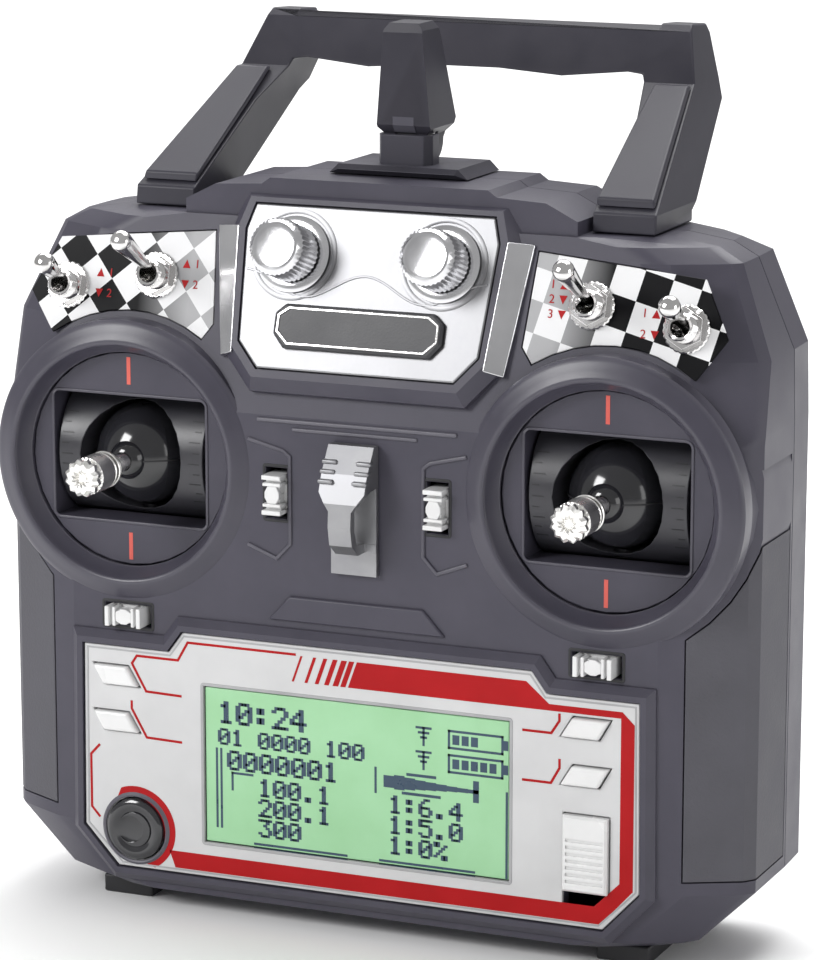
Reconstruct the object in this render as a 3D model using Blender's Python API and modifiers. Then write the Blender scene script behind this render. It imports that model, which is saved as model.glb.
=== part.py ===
"""Two-stick hobby radio transmitter, built as an assembly of separate parts.

Units are metres. X runs to the operator's right, Y runs from the front face to the back, Z is up.
The origin is the middle of the footprint, on the surface that the feet stand on.

Most parts are placed in a frame (an empty) that lies in the face they belong to. Inside a frame a
point is given as x (right), up (along the face) and out (away from the face, towards the operator).
"""

from math import cos, pi, radians, sin, tan

import bmesh
import bpy
from mathutils import Matrix, Vector

MM = 0.001
GAP = 0.3 * MM

# The casing as a whole.
GIMBAL_HEIGHT = 100 * MM
FACE_Y = -28.1 * MM
WALL = 2.5 * MM
PARTING = -29 * MM
HALF_WIDTH = 87 * MM
BODY_BOTTOM = -95.5 * MM
SHOULDER_TOP = 53.5 * MM
BEND_UP = 13 * MM
SHOULDER_TILT = radians(15)
HUMP_TOP = 62 * MM
HUMP_FRONT = -11.5 * MM
BODY_BACK = -47 * MM
BACK_CENTRE = -43 * MM

# Stick units, whose round plates lie below the face. Their outs are counted from the plate.
GIMBAL_X = 55.2 * MM
GIMBAL_DEPTH = 3.2 * MM
DISC_RADIUS = 23.4 * MM
RING_CREST = (25.9 * MM, 26.7 * MM)
RING_FOOT = 29.8 * MM
RING_HEIGHT = 4.7 * MM
RING_LIP = 0.5 * MM
FLANGE_RADIUS = 26.5 * MM
FLANGE_OUT = -1.5 * MM
WINDOW_HALF = (18.25 * MM, 13.85 * MM)
DRUM_RADIUS = 15 * MM
DRUM_AXIS_OUT = -15 * MM
DRUM_HALF = 17.4 * MM
BALL_RADIUS = 11.2 * MM
BALL_OUT = -9 * MM
BALL_HOLE = 12.2 * MM
STICK_TIP_OUT = 23 * MM
STICK_RADIUS = 2.0 * MM
STICK_END_LENGTH = 12.5 * MM

# Display panel.
PANEL_OUT = 1.5 * MM
RIM_OUT = 2.1 * MM
PANEL_THICK = 1.0 * MM
SHELL_HOLE = (-4 * MM, 3.5 * MM)
LCD_HALF = (35.5 * MM, 17.35 * MM)
LCD_UP = -65.25 * MM
KEY_X = 54.8 * MM
KEY_SHIFT = -2.0 * MM
KEY_UP = -47.4 * MM
KEY_OUT = 2.7 * MM
KEY_PITCH = 10.4 * MM
BIND_CENTRE = (-52.5 * MM, -81.8 * MM)
BIND_RADIUS = 6.9 * MM
SLIDER_X = 53.1 * MM
SLIDER_HALF = (5.0 * MM, 8.3 * MM)
SLIDER_UP = -74.6 * MM
SLIDER_TRAVEL = 4.0 * MM

# Control plate on the centre platform, which leans back more than the shoulders.
PLATFORM_TILT = radians(18.5)
PLATFORM_OUT = 4.5 * MM
PLATFORM_TOP = 48.5 * MM
KNOB_X = 17.2 * MM
KNOB_UP = 34 * MM
KNOB_RADIUS = 6.4 * MM
KNOB_LENGTH = 10 * MM
POT_HOLE = 3.6 * MM

# Toggle switches on the shoulders: x and up from the casing's centre, lever length.
SWITCHES = {
    "switch_a": (-71 * MM, 36.7 * MM, 12 * MM),
    "switch_b": (-50 * MM, 40 * MM, 18.5 * MM),
    "switch_c": (50 * MM, 40 * MM, 18.5 * MM),
    "switch_d": (71 * MM, 36.7 * MM, 12 * MM),
}
LEVER_TILT = radians(16)

# Trim rockers: x, up, and whether the rocker slides sideways.
TRIMS = {
    "trim_left_side": (-54.5 * MM, -34 * MM, True),
    "trim_left_up": (-18.6 * MM, -3.8 * MM, False),
    "trim_right_up": (18.6 * MM, -3.8 * MM, False),
    "trim_right_side": (54.5 * MM, -34 * MM, True),
}
TRIM_HALF = (4.3 * MM, 2.2 * MM)
TRIM_SLOT = (5.6 * MM, 2.5 * MM)
TRIM_OUT = 2.2 * MM

# Carry handle.
HANDLE_FOOT_X = (46.0 * MM, 60.0 * MM)
HANDLE_TOP_X = (44.8 * MM, 49.8 * MM)
HANDLE_TOP = 92.5 * MM
HANDLE_BACK = -76 * MM
BAR_LOW = 81 * MM

# Antenna paddle.
ANTENNA_AXIS = (-31 * MM, 69.4 * MM)
ANTENNA_TOP = 94.5 * MM
TONGUE_HALF = 2.2 * MM

FOOT_X = 58.7 * MM
BAY_HALF_WIDTH = 28.5 * MM
BAY_UP = (-89 * MM, -26 * MM)
BAY_FRONT = -25.5 * MM
COVER_BACK = -42.4 * MM
CELL_RADIUS = 7.1 * MM
CELL_LENGTH = 50.5 * MM
SCREWS = ((-72 * MM, -68 * MM), (72 * MM, -68 * MM), (-36 * MM, 36 * MM), (36 * MM, 36 * MM))

MATERIALS = {}


# ---------------------------------------------------------------- scene and helpers

def clear_scene():
    for item in list(bpy.data.objects):
        bpy.data.objects.remove(item, do_unlink=True)


def new_collection(name):
    collection = bpy.data.collections.new(name)
    bpy.context.scene.collection.children.link(collection)
    return collection


def material(name, color, roughness, metallic=0.0):
    """One Principled material, made once and shared by name."""
    if name not in MATERIALS:
        made = bpy.data.materials.new(name)
        made.use_nodes = True
        shader = made.node_tree.nodes["Principled BSDF"]
        shader.inputs["Base Color"].default_value = (*color, 1.0)
        shader.inputs["Roughness"].default_value = roughness
        shader.inputs["Metallic"].default_value = metallic
        MATERIALS[name] = made
    return MATERIALS[name]


def body_plastic():
    return material("body_plastic", (0.13, 0.125, 0.15), 0.45)


def dark_plastic():
    return material("dark_plastic", (0.03, 0.03, 0.035), 0.4)


def grip_rubber():
    return material("grip_rubber", (0.10, 0.10, 0.115), 0.75)


def chrome():
    return material("chrome", (0.8, 0.8, 0.82), 0.2, 1.0)


def steel():
    return material("steel", (0.5, 0.5, 0.52), 0.35, 1.0)


def white_plastic():
    return material("white_plastic", (0.8, 0.8, 0.8), 0.4)


def frame_empty(name, location, rotation=None, parent=None):
    """An empty that carries a face's axes or a joint's axis."""
    empty = bpy.data.objects.new(name, None)
    empty.empty_display_size = 5 * MM
    PARTS.objects.link(empty)
    empty.parent = parent
    local = Matrix.Translation(location)
    if rotation is not None:
        local = local @ rotation
    empty.matrix_local = local
    return empty


def new_object(name, bm, frame):
    """Turn a bmesh into an object in a frame, with outward faces and smooth round sides."""
    mesh = bpy.data.meshes.new(name)
    bmesh.ops.recalc_face_normals(bm, faces=bm.faces)
    bm.to_mesh(mesh)
    bm.free()
    mesh.shade_smooth()
    mesh.set_sharp_from_angle(angle=radians(35))
    made = bpy.data.objects.new(name, mesh)
    PARTS.objects.link(made)
    made.parent = frame
    return made


def box(name, low, high, frame):
    """A block between two opposite corners."""
    bm = bmesh.new()
    bmesh.ops.create_cube(bm, size=1.0)
    low = Vector(low)
    high = Vector(high)
    size = high - low
    bmesh.ops.scale(bm, vec=size, verts=bm.verts)
    bmesh.ops.translate(bm, vec=(low + high) / 2, verts=bm.verts)
    return new_object(name, bm, frame)


def cone(name, start, end, radii, frame, segments=24):
    """A round bar from one point to another, with a radius at each end."""
    start = Vector(start)
    axis = Vector(end) - start
    turn = axis.to_track_quat("Z", "Y").to_matrix().to_4x4()
    place = Matrix.Translation(start + axis / 2) @ turn
    bm = bmesh.new()
    bmesh.ops.create_cone(
        bm, cap_ends=True, segments=segments, radius1=radii[0], radius2=radii[1],
        depth=axis.length, matrix=place,
    )
    return new_object(name, bm, frame)


def rod(name, start, end, radius, frame, segments=24):
    return cone(name, start, end, (radius, radius), frame, segments)


def ball(name, centre, radius, frame, segments=24):
    bm = bmesh.new()
    bmesh.ops.create_uvsphere(
        bm, u_segments=segments, v_segments=segments // 2, radius=radius,
        matrix=Matrix.Translation(centre),
    )
    return new_object(name, bm, frame)


def slab(name, outline, low, high, frame, chamfer=0.0):
    """A flat outline in x and up, thick from out=low to out=high, its front edge chamfered."""
    curve = bpy.data.curves.new(name, "CURVE")
    curve.dimensions = "2D"
    curve.fill_mode = "BOTH"
    curve.extrude = (high - low) / 2
    spline = curve.splines.new("POLY")
    spline.points.add(len(outline) - 1)
    for point, (x, up) in zip(spline.points, outline):
        point.co = (x, up, 0.0, 1.0)
    spline.use_cyclic_u = True
    drawn = bpy.data.objects.new(name, curve)
    bpy.context.scene.collection.objects.link(drawn)
    depsgraph = bpy.context.evaluated_depsgraph_get()
    mesh = bpy.data.meshes.new_from_object(drawn.evaluated_get(depsgraph))
    bm = bmesh.new()
    bm.from_mesh(mesh)
    bmesh.ops.remove_doubles(bm, verts=bm.verts, dist=0.01 * MM)
    if chamfer > 0:
        bmesh.ops.dissolve_limit(bm, angle_limit=radians(0.5), verts=bm.verts, edges=bm.edges)
        half = (high - low) / 2
        front = [edge for edge in bm.edges if min(vert.co.z for vert in edge.verts) > half * 0.99]
        bmesh.ops.bevel(bm, geom=front, offset=chamfer, segments=1, affect="EDGES")
    bmesh.ops.translate(bm, vec=(0, 0, (high + low) / 2), verts=bm.verts)
    bpy.data.objects.remove(drawn, do_unlink=True)
    bpy.data.curves.remove(curve)
    bpy.data.meshes.remove(mesh)
    return new_object(name, bm, frame)


def side_slab(name, outline, x_low, x_high, frame):
    """An outline in out and up, thick from x_low to x_high."""
    turned = frame_empty(name + "_side", (0, 0, 0), Matrix.Rotation(-pi / 2, 4, "Y"), frame)
    return slab(name, outline, -x_high, -x_low, turned)


def turned(name, profile, frame, segments=32):
    """A shape turned about the frame's out axis from a (radius, out) profile, outer side downward.

    A profile that starts and ends on the axis stays open there; any other is closed into a ring.
    """
    mesh = bpy.data.meshes.new(name)
    points = [(radius, 0.0, out) for radius, out in profile]
    edges = [(i, i + 1) for i in range(len(points) - 1)]
    if profile[0][0] > 0 or profile[-1][0] > 0:
        edges.append((len(points) - 1, 0))
    mesh.from_pydata(points, edges, [])
    made = bpy.data.objects.new(name, mesh)
    PARTS.objects.link(made)
    made.parent = frame
    screw = made.modifiers.new("turn", "SCREW")
    screw.steps = segments
    screw.render_steps = segments
    screw.use_merge_vertices = True
    screw.merge_threshold = 0.01 * MM
    return made


def tool(cutter):
    """Move a shape that only cuts or fills to the tools' collection."""
    PARTS.objects.unlink(cutter)
    TOOLS.objects.link(cutter)
    cutter.hide_render = True
    cutter.display_type = "WIRE"
    return cutter


def boolean(target, shape, operation):
    tool(shape)
    modifier = target.modifiers.new(shape.name, "BOOLEAN")
    modifier.operation = operation
    modifier.object = shape
    modifier.solver = "EXACT"


def cut(target, shape):
    boolean(target, shape, "DIFFERENCE")


def join(target, shape):
    boolean(target, shape, "UNION")


def paint(piece, finish):
    piece.data.materials.clear()
    piece.data.materials.append(finish)
    return piece


def mirrored(half):
    """A closed outline from the points of its right half, bottom to top."""
    return half + [(-x, up) for x, up in reversed(half)]


def rectangle(x, up, half_x, half_up):
    return [
        (x - half_x, up - half_up), (x + half_x, up - half_up),
        (x + half_x, up + half_up), (x - half_x, up + half_up),
    ]


def arc(centre, radius, start, end, steps):
    """Points on an arc, from one angle to another in degrees."""
    angles = [radians(start + (end - start) * i / steps) for i in range(steps + 1)]
    return [(centre[0] + radius * cos(angle), centre[1] + radius * sin(angle)) for angle in angles]


def grown(outline, amount):
    """The same outline with each side moved out by an amount; its points run anticlockwise."""
    result = []
    count = len(outline)
    for i in range(count):
        before = Vector(outline[i - 1])
        here = Vector(outline[i])
        after = Vector(outline[(i + 1) % count])
        first = (here - before).normalized()
        second = (after - here).normalized()
        first_normal = Vector((first.y, -first.x))
        second_normal = Vector((second.y, -second.x))
        middle = (first_normal + second_normal).normalized()
        moved = here + middle * amount / max(middle.dot(first_normal), 0.3)
        result.append((moved.x, moved.y))
    return result


# ---------------------------------------------------------------- frames

def face_frame():
    """The plane of the two stick units: x right, up, out towards the operator."""
    turn = Matrix.Rotation(pi / 2, 4, "X")
    return frame_empty("face", (0, FACE_Y, GIMBAL_HEIGHT), turn)


def upper_frame():
    """The centre platform's plane: its up axis leans back."""
    turn = Matrix.Rotation(pi / 2 - PLATFORM_TILT, 4, "X")
    return frame_empty("upper_face", (0, FACE_Y, GIMBAL_HEIGHT + BEND_UP), turn)


def shoulder_out(up):
    """How far out of the face plane the leaning shoulder face is."""
    return -max(up - BEND_UP, 0) * tan(SHOULDER_TILT)


def shoulder_frame(name, x, up):
    """A frame on the shoulders' leaning plane, at a given place."""
    turn = Matrix.Rotation(pi / 2 - SHOULDER_TILT, 4, "X")
    place = (x, FACE_Y - shoulder_out(up), GIMBAL_HEIGHT + up)
    return frame_empty(name, place, turn)


# ---------------------------------------------------------------- casing

# Heights and half widths of the casing's front view, bottom to top.
SIDE_LINE = (
    (BODY_BOTTOM, 68 * MM), (-94 * MM, 74.5 * MM), (-82 * MM, 86.8 * MM), (BEND_UP, HALF_WIDTH),
    (BEND_UP + 2 * MM, HALF_WIDTH), (30 * MM, 86.6 * MM), (49 * MM, 78.5 * MM), (52 * MM, 73 * MM),
    (SHOULDER_TOP, 63 * MM),
)


def front_half(up, half_width):
    """The right half of the casing's front at one height: x and out, centre to side."""
    lean = shoulder_out(up)
    return [
        (0, lean), (half_width - 19 * MM, lean), (half_width - 13 * MM, lean - 1.3 * MM),
        (half_width - 2 * MM, lean - 7 * MM), (half_width, lean - 9.5 * MM),
    ]


def back_half(up, half_width):
    """The right half of the casing's back at one height: x and out, side to centre."""
    draw_in = 4 * MM if up < -93 * MM or up > 51 * MM else 0.0
    return [
        (half_width - 0.5 * MM, -40 * MM + draw_in), (half_width - 7 * MM, BODY_BACK + draw_in),
        (half_width - 25 * MM, BODY_BACK + draw_in), (half_width - 31 * MM, BACK_CENTRE + draw_in),
        (0, BACK_CENTRE + draw_in),
    ]


def casing_block(name, inset, span, half, frame):
    """A solid through the casing's heights, from the parting side (span) to its front or back."""
    bm = bmesh.new()
    middle = (SHOULDER_TOP + BODY_BOTTOM) / 2
    half_height = (SHOULDER_TOP - BODY_BOTTOM) / 2
    rings = []
    for up, half_width in SIDE_LINE:
        level = middle + (up - middle) * (1 - inset / half_height)
        outline = half(up, half_width)
        if half is front_half:
            outline = [(x, out - inset) for x, out in outline] + [(half_width, span)]
        else:
            outline = [(half_width, span)] + [(x, out + inset) for x, out in outline]
        right = [(max(x - inset * x / half_width, 0), out) for x, out in outline]
        left = [(-x, out) for x, out in reversed(right) if x > 0]
        ring = right + left
        rings.append([bm.verts.new((x, level, out)) for x, out in ring])
    for lower, higher in zip(rings, rings[1:]):
        for i in range(len(lower)):
            j = (i + 1) % len(lower)
            bm.faces.new((lower[i], lower[j], higher[j], higher[i]))
    bm.faces.new(rings[0])
    bm.faces.new(rings[-1])
    bmesh.ops.remove_doubles(bm, verts=bm.verts, dist=0.001 * MM)
    return new_object(name, bm, frame)


def gimbal_ring(name, x, frame):
    """The raised ring round a stick unit, whose inner side the unit's seat cuts."""
    centre = frame_empty(name + "_centre", (x, 0, -GIMBAL_DEPTH), None, frame)
    foot = RING_FOOT + 1.5 * MM
    inner = DISC_RADIUS - 2 * MM
    profile = [
        (inner, -7 * MM), (inner, RING_HEIGHT), (RING_CREST[1], RING_HEIGHT),
        (RING_FOOT, GIMBAL_DEPTH - 0.6 * MM), (foot, -7 * MM),
    ]
    return turned(name, profile, centre)


def gimbal_seat(name, x, frame):
    """The cutter for a stick unit: the ring's sloping inner side, the plate's hole and its flange."""
    centre = frame_empty(name + "_centre", (x, 0, -GIMBAL_DEPTH), None, frame)
    hole = DISC_RADIUS + GAP
    flange = FLANGE_RADIUS + GAP
    profile = [
        (0, 9 * MM), (RING_CREST[0] + 0.2 * MM, 9 * MM), (RING_CREST[0], RING_HEIGHT - 0.3 * MM),
        (hole + GAP, RING_LIP), (hole, RING_LIP), (hole, FLANGE_OUT), (flange, FLANGE_OUT),
        (flange, -24 * MM), (0, -24 * MM),
    ]
    return turned(name, profile, centre, 28)


def control_outline():
    """The bright control plate's outline in the upper frame."""
    half = [(22.6 * MM, 9.3 * MM), (27.5 * MM, 14.9 * MM), (29 * MM, 39 * MM), (27.4 * MM, 44.5 * MM)]
    return mirrored(half)


def panel_outline():
    """The display overlay's outline in the face frame, with its raised top middle."""
    half = [
        (56.9 * MM, -90.7 * MM), (65 * MM, -82 * MM), (64.6 * MM, -40.9 * MM),
        (44 * MM, -40.9 * MM), (40.6 * MM, -36.3 * MM),
    ]
    return mirrored(half)


def shoulder_outline(side):
    """A switch plate's outline in the casing's x and up, its lower edge following the ring."""
    ring_gap = RING_FOOT + 2.7 * MM
    lower = arc((GIMBAL_X, 0), ring_gap, 122, 55, 8)
    corners = [
        (80 * MM, 35.2 * MM), (74 * MM, 46.8 * MM), (37.2 * MM, 50.1 * MM), (35.6 * MM, 30.8 * MM),
    ]
    outline = lower + corners
    if side < 0:
        return [(-x, up) for x, up in reversed(outline)]
    return outline


def to_shoulder(outline, side):
    """The same outline in the shoulder frame that stands at the gimbal's x and the bend's height."""
    stretch = 1 / cos(SHOULDER_TILT)
    return [(x - side * GIMBAL_X, (up - BEND_UP) * stretch) for x, up in outline]


def grip_region(side):
    """Front view of the area a side grip covers: a curve round the ring, then straight down."""
    reach = RING_FOOT + 3 * MM
    top = arc((GIMBAL_X, 0), reach, 14, -56, 7)
    outline = [(100 * MM, -79 * MM), (100 * MM, 8 * MM)] + top + [(top[-1][0], -79 * MM)]
    if side < 0:
        return [(-x, up) for x, up in reversed(outline)]
    return outline


def grip_skin(name, side, thickness, growth, frame):
    """The layer of the casing's side that a grip fills."""
    reach = -0.3 * MM if growth > 0 else 0.0
    skin = casing_block(name, reach, PARTING + 1.5 * MM - growth, front_half, frame)
    core = casing_block(name + "_core", thickness, PARTING - 20 * MM, front_half, frame)
    area = slab(name + "_area", grown(grip_region(side), growth), -60 * MM, 20 * MM, frame)
    boolean(skin, area, "INTERSECT")
    cut(skin, core)
    return skin


def key_place(side, row):
    """The middle of a slanted key: row 0 is the upper one and row 1 the lower one."""
    return side * KEY_X + KEY_SHIFT, KEY_UP - KEY_PITCH * row


def key_outline(side, growth=0.0):
    """A slanted key's outline about its own middle."""
    outline = [
        (3.0 * MM, -2.1 * MM), (5.4 * MM, 2.1 * MM), (-2.8 * MM, 2.1 * MM), (-5.4 * MM, -2.1 * MM),
    ]
    if side < 0:
        outline = [(-x, up) for x, up in reversed(outline)]
    return grown(outline, growth)


def key_hole(name, side, row, low, high, frame):
    """The cutter for a key's hole."""
    x, up = key_place(side, row)
    hole = [(x + px, up + pup) for px, pup in key_outline(side, GAP)]
    return slab(name, hole, low, high, frame)


def hump_outline():
    return mirrored([
        (45 * MM, 46 * MM), (45 * MM, 56.5 * MM), (38 * MM, 60 * MM), (27 * MM, 60.6 * MM),
        (25 * MM, HUMP_TOP),
    ])


def add_raised_faces(shell, face, upper):
    """Fuse the hump, the platform, the display's pad and the two rings with the front shell."""
    join(shell, slab("hump_front", hump_outline(), PARTING + GAP / 2, HUMP_FRONT, face))
    platform = [(x, min(up, PLATFORM_TOP)) for x, up in grown(control_outline(), 4.6 * MM)]
    join(shell, slab("platform", platform, -9 * MM, PLATFORM_OUT, upper, 2.6 * MM))
    pad = grown(panel_outline(), 3.2 * MM)
    join(shell, slab("display_pad", pad, -1 * MM, RIM_OUT, face, 1.6 * MM))
    for side, word in ((-1, "left"), (1, "right")):
        join(shell, gimbal_ring("ring_" + word, side * GIMBAL_X, face))


def hollow_front(shell, face, upper):
    """Empty the front shell and stand the screw bosses in it."""
    cut(shell, casing_block("front_hollow", WALL, PARTING - 10 * MM, front_half, face))
    low, high = (-28 * MM, 40 * MM, PARTING - 5 * MM), (28 * MM, 57.5 * MM, HUMP_FRONT - 3 * MM)
    cut(shell, box("hump_hollow", low, high, face))
    low, high = (-25 * MM, 15 * MM, -13 * MM), (25 * MM, 44.2 * MM, PLATFORM_OUT - 3.4 * MM)
    cut(shell, box("platform_hollow", low, high, upper))
    for index, (x, up) in enumerate(SCREWS):
        back = PARTING + 0.5 * MM
        top = -3 * MM if up < 0 else -8 * MM
        join(shell, rod(f"front_boss_{index}", (x, up, back), (x, up, top), 4 * MM, face, 10))
        back = PARTING - 2 * MM
        top = -13 * MM
        cut(shell, rod(f"front_boss_hole_{index}", (x, up, back), (x, up, top), 1.9 * MM, face, 8))


def cut_side_seats(shell, side, word, face):
    """Cut one side's stick unit seat, switch plate seat, grip seat and key holes."""
    x = side * GIMBAL_X
    cut(shell, gimbal_seat(f"gimbal_seat_{word}", x, face))
    frame = shoulder_frame(f"shoulder_{word}", x, BEND_UP)
    seat = grown(to_shoulder(shoulder_outline(side), side), GAP)
    cut(shell, slab(f"switch_seat_{word}", seat, -1 * MM, 4 * MM, frame))
    cut(shell, grip_skin(f"grip_seat_{word}", side, 1.5 * MM, GAP, face))
    for row in (0, 1):
        cut(shell, key_hole(f"key_hole_{word}_{row}", side, row, *SHELL_HOLE, face))


def front_shell(face, upper):
    """The front half of the casing with every seat and opening that faces the operator."""
    shell = casing_block("front_shell", 0.0, PARTING + GAP / 2, front_half, face)
    add_raised_faces(shell, face, upper)
    hollow_front(shell, face, upper)
    for side, word in ((-1, "left"), (1, "right")):
        cut_side_seats(shell, side, word, face)
    for name, (x, up, _) in SWITCHES.items():
        frame = shoulder_frame(name + "_hole_frame", x, up)
        cut(shell, rod(name + "_hole", (0, 0, -8 * MM), (0, 0, 4 * MM), 3.4 * MM, frame, 12))
    for name, (x, up, sideways) in TRIMS.items():
        half_x, half_up = TRIM_SLOT if sideways else reversed(TRIM_SLOT)
        slot = rectangle(x, up, half_x, half_up)
        cut(shell, slab(name + "_slot", slot, *SHELL_HOLE, face))
    for side, word in ((-1, "left"), (1, "right")):
        place = (side * KNOB_X, KNOB_UP)
        start, end = (*place, PLATFORM_OUT - 6 * MM), (*place, PLATFORM_OUT + 2 * MM)
        cut(shell, rod("pot_hole_" + word, start, end, POT_HOLE, upper, 14))
    seat = grown(control_outline(), GAP)
    cut(shell, slab("control_seat", seat, PLATFORM_OUT - 1 * MM, PLATFORM_OUT + 2 * MM, upper))
    recess = grown(panel_outline(), GAP)
    recess_floor = PANEL_OUT - PANEL_THICK - GAP
    cut(shell, slab("panel_seat", recess, recess_floor, RIM_OUT + 2 * MM, face))
    cut(shell, slab("lcd_hole", lcd_window(), *SHELL_HOLE, face))
    cut(shell, bind_hole("bind_hole", *SHELL_HOLE, face))
    cut(shell, slab("slider_slot", slider_slot(), *SHELL_HOLE, face))
    return paint(shell, body_plastic())


def lcd_window():
    return rectangle(0, LCD_UP, LCD_HALF[0] + GAP, LCD_HALF[1] + GAP)


def bind_hole(name, low, high, frame):
    """The cutter for the bind key's round hole."""
    start, end = (*BIND_CENTRE, low), (*BIND_CENTRE, high)
    return rod(name, start, end, BIND_RADIUS + GAP, frame, 20)


def slider_slot(growth=GAP):
    """The power slider's slot: the slider's own outline with its travel added below."""
    up = SLIDER_UP - SLIDER_TRAVEL / 2
    half_x = SLIDER_HALF[0] + growth
    half_up = SLIDER_HALF[1] + SLIDER_TRAVEL / 2 + growth
    return rectangle(SLIDER_X, up, half_x, half_up)


def rear_shell(face):
    """The rear half of the casing with the battery bay moulded into it."""
    shell = casing_block("rear_shell", 0.0, PARTING - GAP / 2, back_half, face)
    join(shell, slab("hump_rear", hump_outline(), BACK_CENTRE + 2 * MM, PARTING - GAP / 2, face))
    cut(shell, casing_block("rear_hollow", WALL, PARTING + 10 * MM, back_half, face))
    low = (-28 * MM, 40 * MM, BACK_CENTRE + 4.5 * MM)
    high = (28 * MM, 57.5 * MM, PARTING + 5 * MM)
    cut(shell, box("hump_rear_hollow", low, high, face))
    wall = 1.5 * MM
    bay_low = (-BAY_HALF_WIDTH - wall, BAY_UP[0] - wall, BACK_CENTRE + 1 * MM)
    bay_high = (BAY_HALF_WIDTH + wall, BAY_UP[1] + wall, BAY_FRONT + wall)
    join(shell, box("bay_walls", bay_low, bay_high, face))
    for index, (x, up) in enumerate(SCREWS):
        back = BACK_CENTRE if abs(x) < 60 * MM else BODY_BACK
        start, end = (x, up, back + 1 * MM), (x, up, PARTING - 0.5 * MM)
        join(shell, rod(f"rear_boss_{index}", start, end, 4.8 * MM, face, 10))
        start, end = (x, up, PARTING - 8 * MM), (x, up, PARTING + 2 * MM)
        cut(shell, rod(f"screw_hole_{index}", start, end, 1.9 * MM, face, 8))
        start, end = (x, up, BODY_BACK - 5 * MM), (x, up, PARTING - 4 * MM)
        cut(shell, rod(f"screw_head_hole_{index}", start, end, 3.5 * MM, face, 12))
    bay_low = (-BAY_HALF_WIDTH, BAY_UP[0], BACK_CENTRE - 5 * MM)
    bay_high = (BAY_HALF_WIDTH, BAY_UP[1], BAY_FRONT)
    cut(shell, box("bay_hollow", bay_low, bay_high, face))
    cover_low = (-32.5 * MM, BODY_BOTTOM - 5 * MM, BACK_CENTRE - 5 * MM)
    cover_high = (32.5 * MM, -20 * MM, COVER_BACK + 2 * MM)
    cut(shell, box("cover_seat", cover_low, cover_high, face))
    return paint(shell, body_plastic())


def battery_cover(face):
    """The ribbed door over the cells, which slides down to come off."""
    slide = frame_empty("battery_cover_slide", (0, -57.5 * MM, COVER_BACK), None, face)
    outline = rectangle(0, 0, 32.2 * MM, 36.7 * MM)
    cover = slab("battery_cover", outline, -0.6 * MM, 2 * MM - GAP, slide)
    for index in range(5):
        up = (22 + 2.4 * index) * MM
        low, high = (-11 * MM, up, -1.3 * MM), (11 * MM, up + 1.2 * MM, -0.4 * MM)
        join(cover, box(f"cover_rib_{index}", low, high, slide))
    return paint(cover, body_plastic())


def battery_pack(face):
    """Four round cells side by side, joined into one body by their contact strips."""
    middle = (BAY_UP[0] + BAY_UP[1]) / 2
    out = BAY_FRONT - CELL_RADIUS - 0.6 * MM
    half = CELL_LENGTH / 2
    ups = [middle + (i - 1.5) * 2.1 * CELL_RADIUS for i in range(4)]
    cells = [
        rod(f"cell_{i}", (-half, up, out), (half, up, out), CELL_RADIUS, face, 14)
        for i, up in enumerate(ups)
    ]
    pack = cells[0]
    pack.name = "battery_pack"
    for cell in cells[1:]:
        join(pack, cell)
    for side, word in ((-1, "left"), (1, "right")):
        low = (side * half - 0.8 * MM, ups[0] - 3 * MM, out - 3 * MM)
        high = (side * half + 0.8 * MM, ups[-1] + 3 * MM, out + 3 * MM)
        join(pack, box("contact_strip_" + word, low, high, face))
    return paint(pack, material("cell_wrap", (0.05, 0.12, 0.3), 0.35))


def main_board(face):
    board = box("main_board", (-58 * MM, -86 * MM, -17 * MM), (58 * MM, -29 * MM, -15.4 * MM), face)
    join(board, box("rf_module", (-14 * MM, -60 * MM, -20 * MM), (14 * MM, -36 * MM, -16.5 * MM), face))
    return paint(board, material("circuit_board", (0.03, 0.2, 0.08), 0.5))


def grips(face):
    for side, word in ((-1, "left"), (1, "right")):
        paint(grip_skin(word + "_grip", side, 1.2 * MM, 0.0, face), grip_rubber())


def feet(face):
    """Two ribs under the casing that it stands on."""
    for side, word in ((-1, "left"), (1, "right")):
        low = (side * FOOT_X - 6 * MM, -GIMBAL_HEIGHT, -38 * MM)
        high = (side * FOOT_X + 6 * MM, BODY_BOTTOM - GAP, -6 * MM)
        paint(box(word + "_foot", low, high, face), dark_plastic())


def case_screws(face):
    for index, (x, up) in enumerate(SCREWS):
        seat = PARTING - 4 * MM - GAP
        start, end = (x, up, seat - 2.4 * MM), (x, up, seat)
        screw = rod(f"case_screw_{index + 1}", start, end, 3.1 * MM, face, 12)
        start, end = (x, up, seat - 1 * MM), (x, up, -15 * MM)
        join(screw, rod(f"screw_shank_{index}", start, end, 1.45 * MM, face, 8))
        low = (x - 2.2 * MM, up - 0.5 * MM, seat - 3 * MM)
        high = (x + 2.2 * MM, up + 0.5 * MM, seat - 1.4 * MM)
        cut(screw, box(f"screw_slot_{index}", low, high, face))
        paint(screw, steel())


# ---------------------------------------------------------------- handle and antenna

def handle_side():
    """Side view of the leaning handle: out and up."""
    return [
        (-17 * MM, SHOULDER_TOP + GAP), (-17.6 * MM, 57.8 * MM), (-57.7 * MM, 80.5 * MM),
        (-64.5 * MM, 91 * MM), (-66.5 * MM, HANDLE_TOP), (HANDLE_BACK + 1 * MM, HANDLE_TOP - 0.5 * MM),
        (HANDLE_BACK, 90 * MM), (-73 * MM, 76 * MM), (-40 * MM, 56 * MM),
        (-40 * MM, SHOULDER_TOP + GAP),
    ]


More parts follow.
